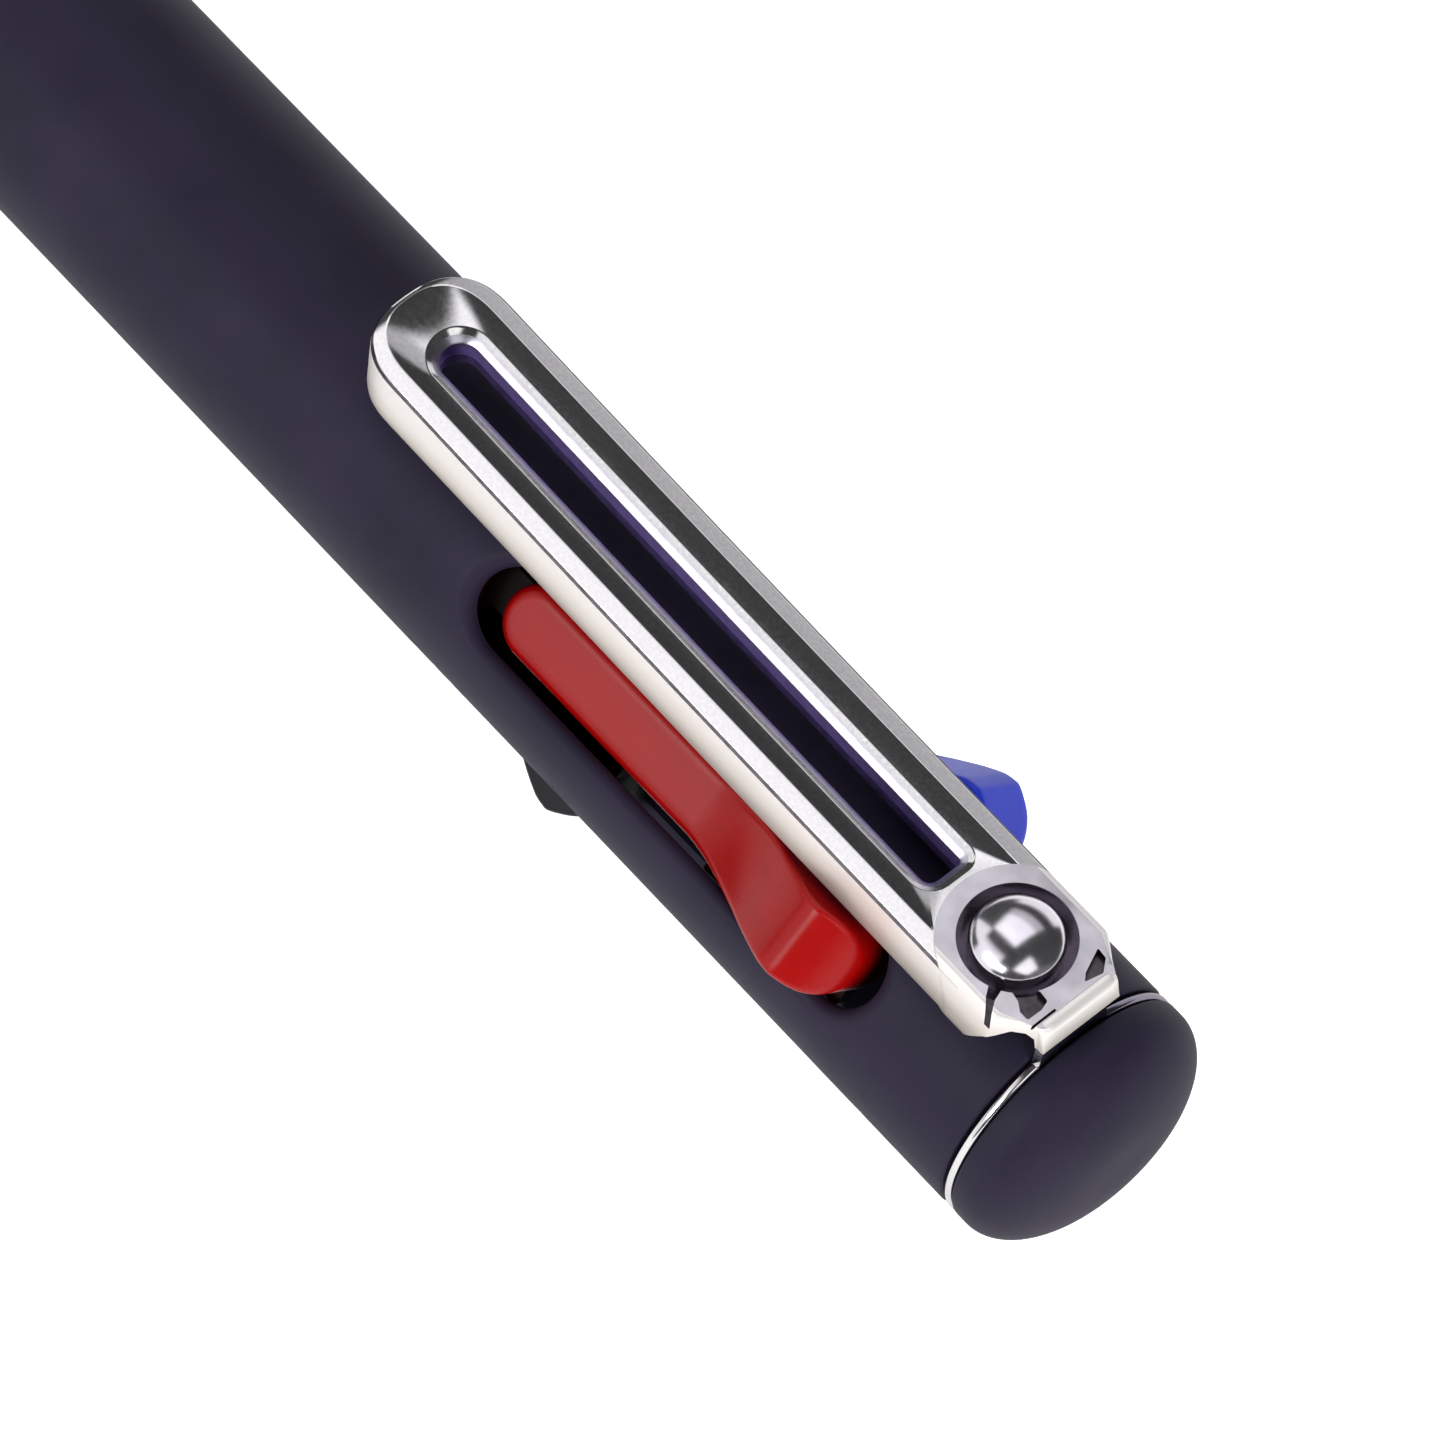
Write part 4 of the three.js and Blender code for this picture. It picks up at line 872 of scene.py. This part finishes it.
# %% Clip head
BOSS_AT, BOSS_RADIUS, BOSS_TOP, RING_RISE = -3.45, 3.3, 9.25, 0.045
RECESS_RADIUS, RECESS_FLOOR = 2.45, 8.1
HEAD_FLANK = [
    (6.15, 3.15), (6.2, 3.26), (6.35, 3.33), (6.6, 3.34), (7.05, 3.31), (7.7, 3.25), (8.2, 3.18),
    (8.6, 3.13), (8.83, 3.10), (9.0, 3.03), (9.12, 2.97), (9.2, 2.9), (9.24, 2.8), (9.25, 2.72),
]


def spread(points, counts):
    """Extra points on the way from each point to the next, as many as its count says."""
    result = []
    for i, count in enumerate(counts):
        here, there = Vector(points[i]), Vector(points[i + 1])
        result.extend(tuple(here.lerp(there, step / (count + 1))) for step in range(count + 1))
    result.append(tuple(points[-1]))
    return result


def head_outline(half):
    radius = max(BOSS_RADIUS, half + 0.01)
    opening = math.asin(half / radius)
    start = (BOSS_AT - radius * math.cos(opening), -half)
    rear = filleted([start, (-1.5, -half, 0.25), (0.25, -1.9, 0.3), (0.25, 0)], 4, False)
    lower = spread(rear, [14, 0, 0, 0, 0, 8, 0, 0, 0, 0, 6])
    points = lower + [(along, -across) for along, across in reversed(lower[:-1])]
    for i in range(1, 33):
        angle = math.pi - opening + 2 * opening * i / 33
        points.append((BOSS_AT + radius * math.cos(angle), radius * math.sin(angle)))
    return points


def clip_head():
    """Flanks, then a top that rises a little towards the recess, so that it shades round the ring."""
    loops = []
    for height, half in HEAD_FLANK:
        loops.append([at(along, across, height) for along, across in head_outline(half)])
    rim = head_outline(HEAD_FLANK[-1][1])
    satin = (len(loops) - 1) * len(rim)
    centre = Vector((BOSS_AT, 0))
    inner = [centre + (Vector(point) - centre).normalized() * (RECESS_RADIUS - 0.1) for point in rim]
    for share, rise in ((0.5, 0.02), (1.0, RING_RISE)):
        loop = [Vector(outside).lerp(inside, share) for outside, inside in zip(rim, inner)]
        loops.append([at(point.x, point.y, BOSS_TOP + rise) for point in loop])
    shape = skin(loops, ends=True)
    return shape, [(flank_painted_shade, range(satin)), (painted_head_top_shade, range(satin, len(shape[1])))]


# %% [markdown]
# A rolled bar closes the rear. One section is carried from side to side, and it narrows and drops at
# its upper corners.

# %% Rolled bar
BAR_SECTION = [
    (0.05, 7.6), (0.5, 7.6, 0.1), (0.5, 9.3, 0.4), (-0.1, 9.3, 0.12), (-0.1, 8.65), (0.05, 8.3),
]
BAR_HALF, BAR_CORNER, BAR_BACK = 2.02, 0.6, 0.05
BAR_ROUND_FROM, BAR_ROUND_TO = 8.2, 9.1


def eased(value, low, high):
    share = min(max((value - low) / (high - low), 0.0), 1.0)
    return share * share * (3 - 2 * share)


def rolled_bar():
    """The bar's section from one side to the other, rounded over at its upper corners."""
    loops = []
    for i in range(25):
        across = BAR_HALF * math.sin(math.pi / 2 * (i / 12 - 1))
        over = max(0.0, abs(across) - (BAR_HALF - BAR_CORNER)) / BAR_CORNER
        rounding = 1 - math.sqrt(max(0.0, 1 - over * over))
        loop = []
        for along, height in filleted(BAR_SECTION):
            upper = eased(height, BAR_ROUND_FROM, BAR_ROUND_TO)
            narrowed = BAR_BACK + (along - BAR_BACK) * (1 - 0.6 * rounding * upper)
            loop.append(at(narrowed, across, height - 0.3 * over ** 4 * upper))
        loops.append(loop)
    return skin(loops, ends=True)


# %% [markdown]
# The rivet sits in a round recess. Behind it hollows mark the fold of the sheet, and an arch
# underneath leaves the cap's ring free. Small crisp hollows in a closed shape are what a boolean is
# good at, and each cut keeps the cutter's own finish: painted shade on the recess floor and in the
# hollows and the arch.

# %% Hollows in the head
ARCH = [
    (-2.85, 6.1), (-2.2, 6.83), (-1.68, 7.52), (-1.25, 7.95), (-0.8, 8.5), (-0.32, 8.6), (-0.02, 8.3),
    (0.05, 7.6), (1.4, 7.6), (1.4, 5.2), (-2.85, 5.2),
]
FOLD_HOLLOWS = [
    (8.9, [(-1.1, 2.15, 0.05), (-0.58, 2.1, 0.1), (-0.14, 1.57, 0.1), (-0.32, 0.75, 0.03),
           (-0.6, 1.05, 0.05)]),
    (8.9, [(-1.75, -1.25), (-1.1, -0.9, 0.1), (-0.62, -0.95, 0.1), (-0.48, -1.39, 0.1), (-0.5, -2.1, 0.1),
           (-0.95, -2.1, 0.1), (-1.35, -1.85, 0.1), (-1.95, -1.75)]),
    (9.0, [(-0.2, -0.95), (-0.09, -0.95), (-0.09, -2.1), (-0.2, -2.2)]),
    (8.3, [(-2.75, -2.1), (-2.15, -1.95), (-1.98, -2.5), (-1.62, -3.0), (-1.15, -3.5), (-1.45, -3.5),
           (-1.9, -3.06), (-2.3, -2.7)]),
]


def standing(centre):
    """Where the points of a turned part lie that stands upright, with a (radius, height) profile."""

    def place(radius, height, angle):
        return at(centre + radius * math.cos(angle), radius * math.sin(angle), height)

    return place


def evaluated(thing):
    """The mesh that an object's modifiers make."""
    bpy.context.view_layer.update()
    return bpy.data.meshes.new_from_object(thing.evaluated_get(bpy.context.evaluated_depsgraph_get()))


def cut_away(mesh, cutter):
    """The mesh after the cutter is taken out of it. The cut takes the cutter's own finish."""
    body, tool = show("body", mesh), show("tool", cutter)
    modifier = body.modifiers.new("cut", "BOOLEAN")
    modifier.operation = "DIFFERENCE"
    modifier.solver = "EXACT"
    modifier.material_mode = "TRANSFER"
    modifier.object = tool
    result = evaluated(body)
    for thing in (body, tool):
        bpy.data.objects.remove(thing)
    return result


def recess(clearance=0.0):
    """What is cut out for the rivet. The channel is cut a little wider, so that no faces coincide."""
    radius, floor_height = RECESS_RADIUS + clearance, RECESS_FLOOR - clearance
    profile = [(0, floor_height), (radius, floor_height), (radius, 9.9), (0, 9.9)]
    return turned(profile, 96, standing(BOSS_AT))


head_shape, head_painted = clip_head()
head = mesh_from(head_shape, chrome_finish, 32, head_painted)
# Only the recess's floor is painted shade; its wall stays chrome.
head = cut_away(head, mesh_from(recess(), chrome_finish, 32, [(painted_recess_shade, range(96))]))
# The fold hollows and the arch are lined with painted shade.
for depth, outline in FOLD_HOLLOWS:
    head = cut_away(head, mesh_from(prism(filleted(outline), at, depth, 9.6), painted_crease_shade))
arch = prism(ARCH, lambda along, height, across: at(along, across, height), -4.5, 4.5)
head = cut_away(head, mesh_from(arch, painted_crease_shade))
print("head:", len(head.polygons), "faces")

# %% [markdown]
# The channel gets the same recess. Under its tip sits the pad that rests on the barrel. Channel, head,
# bar and pad are one stamped piece, so they become one mesh, and every face keeps its finish.

# %% Clip in one piece
PAD_AT = (CLIP_TIP + SLOT_TIP) / 2 + 0.2
PAD_PROFILE = [
    (0, 6.15), (0.35, 6.2), (0.63, 6.35), (0.8, 6.6), (0.88, 6.9), (0.9, 7.3), (0.9, 9.4), (0, 9.4),
]


def joined(meshes, sharp):
    """Several meshes as one, with the finish that each face had."""
    result = bpy.data.meshes.new("joined")
    work = bmesh.new()
    for mesh in meshes:
        places = []
        for material in mesh.materials:
            if material.name not in result.materials:
                result.materials.append(material)
            places.append(result.materials.find(material.name))
        first = len(work.faces)
        work.from_mesh(mesh)
        work.faces.ensure_lookup_table()
        for face in work.faces[first:]:
            face.material_index = places[face.material_index]
    work.to_mesh(result)
    work.free()
    shade(result, sharp)
    return result


channel_shape, channel_painted = clip_channel()
channel = mesh_from(channel_shape, chrome_finish, 20, channel_painted)
# The channel's recess is lined with painted shade.
channel = cut_away(channel, mesh_from(recess(0.05), painted_recess_shade))
# The bar takes the flanks' finish, with its painted shade by height.
bar = mesh_from(rolled_bar(), flank_painted_shade)
pad = mesh_from(turned(PAD_PROFILE, 32, standing(PAD_AT)), chrome_finish)
dress("slotted_clip", joined([channel, head, bar, pad], 24), "clip", "chrome", "clip")

# %% [markdown]
# The rivet has a polished dome. A dome that is a little flatter than a half sphere shows the room as
# a few bright patches.

# %% Rivet
DOME_RADIUS, DOME_HEIGHT, SHANK, RIVET_SEAT, DRUM_TOP = 1.97, 0.95, 0.9, 8.12, 9.3
arc = quarter_arc(20)[:-1]
dome = [(DOME_RADIUS * cosine, DRUM_TOP + DOME_HEIGHT * sine ** 1.4) for cosine, sine in arc]
rivet_profile = [
    (0, CLIP_FOOT), (SHANK, CLIP_FOOT), (SHANK, RIVET_SEAT), (DOME_RADIUS, RIVET_SEAT), *dome,
    (0, DRUM_TOP + DOME_HEIGHT),
]
rivet = mesh_from(turned(rivet_profile, 64, standing(BOSS_AT)), rivet_finish, 40)
dress("domed_rivet", rivet, "clip", "chrome", "clip_rivet")

# %% [markdown]
# A slider is a flat strip that ends in a scooped thumb. The height at each point comes from one
# profile along the strip. The scoop starts on an arc, which shows as the curved end of the flat, and
# the roll on the edge is wide on the strip and narrow on the thumb.

# %% Slider profile
STRIP_FRONT, STRIP_HALF = -30.45, 1.68
THUMB_REAR, THUMB_HALF, KEEL_TOP = -8.1, 1.85, 3.4
STRIP_ROLL, THUMB_ROLL = 0.6, 0.26
THUMB_PROFILE = [
    (-17.4, 4.75), (-16.2, 5.0), (-15.0, 5.42), (-13.9, 6.0), (-13.0, 6.62), (-12.0, 7.22), (-11.2, 7.62),
    (-10.95, 7.71), (-10.4, 7.79), (-10.28, 7.77), (-9.8, 7.52), (-9.1, 7.05), (-8.4, 6.35), (-7.6, 5.2),
]
WIDENS_FROM, WIDENS_TO = -18, -12.5
ARC_FROM, ARC_DEPTH, ARC_HALF = -16.5, 1.1, 1.9
ROUND_STEPS, LONG_STEPS = 24, 48


def through(points, value):
    """A smooth curve through a few (along, height) points."""
    value = min(max(value, points[0][0]), points[-1][0])
    i = max(index for index, point in enumerate(points[:-1]) if point[0] <= value)

    def slope(k):
        before, after = points[max(k - 1, 0)], points[min(k + 1, len(points) - 1)]
        return (after[1] - before[1]) / (after[0] - before[0])

    (x0, y0), (x1, y1) = points[i], points[i + 1]
    width = x1 - x0
    t = (value - x0) / width
    return ((2 * t ** 3 - 3 * t * t + 1) * y0 + (t ** 3 - 2 * t * t + t) * width * slope(i)
            + (3 * t * t - 2 * t ** 3) * y1 + (t ** 3 - t * t) * width * slope(i + 1))


def slider_height(along, across):
    """The scoop starts on an arc, so it comes later towards the sides."""
    later = ARC_DEPTH * (1 - math.sqrt(max(0, 1 - (across / ARC_HALF) ** 2)))
    return through(THUMB_PROFILE, along + later * (1 - eased(along, ARC_FROM, WIDENS_TO)))


def roll_at(along):
    return STRIP_ROLL + (THUMB_ROLL - STRIP_ROLL) * eased(along, WIDENS_FROM, WIDENS_TO)


def half_at(along):
    return STRIP_HALF + (THUMB_HALF - STRIP_HALF) * eased(along, WIDENS_FROM, WIDENS_TO)


# %% [markdown]
# The top is skinned over loops that follow the slider's outline inwards, so every edge is rounded
# alike. The outline is a squarish thumb, two sides that widen towards it, and a round front.

# %% Slider tops


def slider_outline(share_in):
    """The slider's outline, drawn in by a share of the roll on its edge."""
    rear, front = THUMB_REAR - THUMB_HALF, STRIP_FRONT + STRIP_HALF

    def end(centre, radius, squareness, start):
        ways = [squircle(start + math.pi * i / ROUND_STEPS, squareness) for i in range(ROUND_STEPS)]
        return [(centre + radius * reach, radius * width) for reach, width in ways]

    def flank(side, steps):
        places = [rear + (front - rear) * (i / LONG_STEPS) ** 1.8 for i in steps]
        return [(along, side * (half_at(along) - roll_at(along) * share_in)) for along in places]

    thumb_end = end(rear, THUMB_HALF - THUMB_ROLL * share_in, 2.5, -math.pi / 2)
    strip_end = end(front, STRIP_HALF - STRIP_ROLL * share_in, 2, math.pi / 2)
    return thumb_end + flank(1, range(LONG_STEPS)) + strip_end + flank(-1, range(LONG_STEPS, 0, -1))


def slider_top(place):
    """The top over its rolled edge. Its last loop is closed by quads from side to side."""
    loops = [[place(x, y, KEEL_TOP) for x, y in slider_outline(share_in)] for share_in in (1, 0)]
    for cosine, sine in quarter_arc(7):
        outline = slider_outline(1 - cosine)
        loops.append([place(x, y, slider_height(x, y) - (1 - sine) * roll_at(x)) for x, y in outline])
    for squeeze in (0.85, 0.6, 0.35, 0.12):
        squeezed = [(x, y * squeeze) for x, y in slider_outline(1)]
        loops.append([place(x, y, slider_height(x, y)) for x, y in squeezed])
    points, faces = skin(loops)
    count = len(loops[0])
    last, middle = len(points) - count, ROUND_STEPS // 2
    faces.append(tuple(range(count)))
    for k in range(count // 2):
        corners = dict.fromkeys((middle + step) % count for step in (-k, -k - 1, k + 1, k))
        faces.append(tuple(last + corner for corner in corners))
    return points, faces


# %% [markdown]
# Below the slot the slider carries on out of sight: a keel, two flanges that keep it from falling
# out, a neck and a shoulder that the return spring pushes on, and a peg that holds the refill.

# %% Slider bodies
SHOULDER_FRONT, SHOULDER_THICK = -32.4, 0.8
SPRING_RADIUS, SPRING_OFFSET = 1.74, 3.1
REFILL_OFFSET = 3.65
BLOCKS = [(-29.75, -8.5, 1.1, 2.6, 3.6), (-16.6, -8.5, 2.2, 3.5, 4.3), (-32.0, -29.1, 1.0, 2.6, 4.0)]
SHOULDER = [
    (-1.15, 2.5, 0.1), (1.15, 2.5, 0.1), (1.81, 3.16, 0.1), (1.81, 4.3, 0.2), (1.21, 4.79, 0.2),
    (-1.21, 4.79, 0.2), (-1.81, 4.3, 0.2), (-1.81, 3.16, 0.1),
]
PEG = [(-32.0, 0), (-32.0, 0.6), (-36.3, 0.6), (-36.4, 0.5), (-36.4, 0)]


def slider_shape(place):
    def across_first(across, height, along):
        return place(along, across, height)

    def on_peg(along, radius, angle):
        return place(along, radius * math.sin(angle), REFILL_OFFSET + radius * math.cos(angle))

    parts = [slider_top(place)]
    for front, rear, half, low, high in BLOCKS:
        corners = [(front, -half, 0.1), (rear, -half, 0.1), (rear, half, 0.1), (front, half, 0.1)]
        parts.append(prism(filleted(corners, 3), place, low, high))
    shoulder_rear = SHOULDER_FRONT + SHOULDER_THICK
    parts.append(prism(filleted(SHOULDER, 3), across_first, SHOULDER_FRONT, shoulder_rear))
    return together(*parts, turned(PEG, 24, on_peg))


def quarter_place(name):
    """Where a point of one colour's slider or refill lies: its quarter turn and its slide."""
    angle = math.radians(COLOUR_ANGLES[name])
    slid, dipped = (TRAVEL, DIP) if name == "black" else (0, 0)

    def place(along, across, height):
        low = height - dipped
        return at(along - slid, across * math.cos(angle) - low * math.sin(angle),
                  across * math.sin(angle) + low * math.cos(angle))

    return place


for name in COLOUR_ANGLES:
    place = quarter_place(name)
    shape = slider_shape(place)
    # The keel, flanges, neck, shoulder and peg take the shaded copy of the plastic, as painted shade.
    inside = range(len(slider_top(place)[1]), len(shape[1]))
    slider = mesh_from(shape, slider_finish[name], 34, [(inner_painted_shade[name], inside)])
    dress(f"{name}_slider", slider, f"{name}_unit", name, f"slider_{name}")

# %% [markdown]
# Geometry Nodes make the refills' tubes: a tree takes a path as a curve and sweeps a circle along
# it. The tree is written once and used for all four, with its radius and its finish as inputs.

# %% A tree that sweeps a tube along a path


def tree_with(name, *measures):
    """A new tree. Its inputs are a geometry, some measures, and the sides and the finish of a sweep."""
    tree = bpy.data.node_groups.new(name, "GeometryNodeTree")
    tree.interface.new_socket("Geometry", in_out="OUTPUT", socket_type="NodeSocketGeometry")
    kinds = {"Geometry": "Geometry"} | dict.fromkeys(measures, "Float")
    kinds |= {"Sides": "Int", "Finish": "Material"}
    for title, kind in kinds.items():
        tree.interface.new_socket(title, in_out="INPUT", socket_type=f"NodeSocket{kind}")
    sheet = NodeSheet(tree)
    return tree, sheet, sheet.add("NodeGroupInput")


def sweep(sheet, given, path, radius):
    """Sweeps a circle along a path and ends the tree with it."""
    inputs = {"Resolution": given.out("Sides"), "Radius": radius}
    ring = sheet.add("GeometryNodeCurvePrimitiveCircle", inputs, mode="RADIUS")
    inputs = {"Curve": path, "Profile Curve": ring, "Fill Caps": True}
    real = sheet.add("GeometryNodeRealizeInstances", {0: sheet.add("GeometryNodeCurveToMesh", inputs)})
    inputs = {"Geometry": real, "Material": given.out("Finish")}
    sheet.add("NodeGroupOutput", {0: sheet.add("GeometryNodeSetMaterial", inputs)})


sweep_tree, sheet, given = tree_with("tube_along_path", "Radius")
sweep(sheet, given, given.out("Geometry"), given.out("Radius"))


def grown(source, tree, values):
    """The result of a tree on an object, as a plain mesh at the origin."""
    thing = show("seed", source)
    modifier = thing.modifiers.new("grow", "NODES")
    modifier.node_group = tree
    for item in tree.interface.items_tree:
        if item.item_type == "SOCKET" and item.in_out == "INPUT" and item.name in values:
            modifier[item.identifier] = values[item.name]
    mesh = evaluated(thing)
    bpy.data.objects.remove(thing)
    return mesh


# %% [markdown]
# A refill's tube runs straight from its peg and then bends softly towards the writing hole. Its
# metal tip is turned, and it leans as the front of the tube does.

# %% Refill tubes and tips
TIP_IN_END = NOSE_REAR - NOSE_LENGTH - 3.0 + TRAVEL
TIP_IN_OFFSET = 0.75 + DIP
SLOPE = DIP / TRAVEL
BEND_SOFTNESS = 1.2 * SLOPE
TUBE_REAR, TUBE_OVERLAP, TUBE_RADIUS = -32.5, 10.1, 1.0
TIP_PROFILE = [
    (14, 0), (14, 0.6), (10, 0.6), (10, 0.95, 0.05), (8.2, 0.95, 0.3), (8.0, 0.86, 0.1), (7.7, 0.86, 0.1),
    (7.5, 0.92, 0.2), (5, 0.56, 0.4), (3, 0.42, 0.2), (0.75, 0.42, 0.15), (0.28, 0.3), (0.2, 0.27),
    (0.08, 0.2), (0.02, 0.1), (0, 0),
]


def refill_path(place):
    curve = bpy.data.curves.new("refill_path", "CURVE")
    curve.dimensions = "3D"
    spline = curve.splines.new("POLY")
    spline.points.add(48)
    start = TIP_IN_END + TUBE_OVERLAP
    for i, point in enumerate(spline.points):
        along = start + (TUBE_REAR - start) * i / 48
        before, after = TIP_IN_OFFSET + SLOPE * (along - TIP_IN_END), REFILL_OFFSET
        height = (before + after - math.sqrt((before - after) ** 2 + BEND_SOFTNESS ** 2)) / 2
        point.co = (*place(along, 0, height), 1)
    return curve


def tip_shape(place):
    angle = math.atan(SLOPE)

    def on_tip(along, radius, turn_by):
        across, up = radius * math.sin(turn_by), radius * math.cos(turn_by)
        return place(TIP_IN_END + along * math.cos(angle) - up * math.sin(angle), across,
                     TIP_IN_OFFSET + along * math.sin(angle) + up * math.cos(angle))

    return turned(filleted(TIP_PROFILE, 4), 40, on_tip)


for name in COLOUR_ANGLES:
    place = quarter_place(name)
    values = {"Radius": TUBE_RADIUS * MM, "Sides": 32, "Finish": refill_finish[name]}
    tube = grown(refill_path(place), sweep_tree, values)
    shade(tube, 50)
    dress(f"{name}_refill", tube, f"{name}_unit", f"{name}_refill", f"refill_tube_{name}")
    tip = mesh_from(tip_shape(place), brass_finish, 40)
    dress(f"{name}_tip", tip, f"{name}_unit", "brass", f"refill_tip_{name}")

# %% [markdown]
# Springs and threads follow a rule, a turn after a turn, so a second tree winds them: a spiral curve
# with a circle or a ridge swept along it.

# %% A tree that winds a coil
coil_tree, sheet, given = tree_with("wound_coil", "Turns", "Radius", "Length", "Wire")
radius = given.out("Radius")
inputs = {"Rotations": given.out("Turns"), "Start Radius": radius, "End Radius": radius}
spiral = sheet.add("GeometryNodeCurveSpiral", inputs | {"Resolution": 24, "Height": given.out("Length")})
sweep(sheet, given, spiral, given.out("Wire"))


def coil(turns, radius, length, wire, sides, material):
    """A coil along X from the origin."""
    values = {"Turns": turns, "Radius": radius * MM, "Length": length * MM, "Wire": wire * MM}
    mesh = grown(bpy.data.meshes.new("seed"), coil_tree, values | {"Sides": sides, "Finish": material})
    mesh.transform(Matrix.Rotation(math.pi / 2, 4, "Y"))
    shade(mesh, 60)
    return mesh


# %% [markdown]
# A return spring sits between the guide plate, which belongs to the casing, and the slider's
# shoulder.

# %% Return springs
PLATE_REAR, SPRING_TURNS = -57.6, 17.0
WIRE, END_GAP = 0.14, 0.24
for name in COLOUR_ANGLES:
    out = name == "black"
    near, far = PLATE_REAR + END_GAP, SHOULDER_FRONT - (TRAVEL if out else 0) - END_GAP
    mesh = coil(SPRING_TURNS, SPRING_RADIUS, far - near, WIRE, 8, wire_finish)
    lean = Matrix.Identity(4)
    lean[2][0] = -(DIP - 0.1) / (far - near) if out else 0
    turn = Matrix.Rotation(math.radians(COLOUR_ANGLES[name]), 4, "X")
    mesh.transform(turn @ Matrix.Translation((0, 0, SPRING_OFFSET * MM)) @ lean)
    low, high = at(near, 0, 0), at(far, 0, 0)
    mesh.transform(Matrix.Translation(low))
    spring = show(f"{name}_spring", mesh)
    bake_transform(spring)
    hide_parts(f"return_spring_{name}")

# %% [markdown]
# The two halves of the barrel screw onto a brass sleeve. Its threads are the same coil with a
# coarser ridge, one on each side of the trim ring.

# %% Threaded sleeve
SLEEVE_REAR, SLEEVE_FRONT, SLEEVE_RADIUS = -68.8, -82.8, 5.14
sleeve_profile = filleted([
    (SLEEVE_REAR, LOWER_BORE), (SLEEVE_REAR, SLEEVE_RADIUS, 0.08), (SLEEVE_FRONT, SLEEVE_RADIUS, 0.08),
    (SLEEVE_FRONT, LOWER_BORE),
])
sleeve_parts = [mesh_from(turned(sleeve_profile, 96), brass_finish)]
for start in (-74.0, -82.0):
    ridge = coil(5.0, 5.1, 5.0, 0.11, 6, brass_finish)
    ridge.transform(Matrix.Translation(at(start, 0, 0)))
    sleeve_parts.append(ridge)
dress("threaded_sleeve", joined(sleeve_parts, 40), "front_half", "brass", "joint_sleeve")

# %% [markdown]
# The guide plate, the inner frame and the cap's insert have the right shape as they are, so they
# keep their solids and only get a finish.

# %% Finishes on solids that stay
KEPT = {"guide_plate": frame_finish, "inner_frame": frame_finish, "cap_insert": brass_finish}
for name, material in KEPT.items():
    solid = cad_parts[name].data
    solid.materials.clear()
    solid.materials.append(material)

# %% [markdown]
# Last, the picture's settings. Standard shows colours as they are written.

# %% Close
bpy.context.scene.view_settings.view_transform = "Standard"
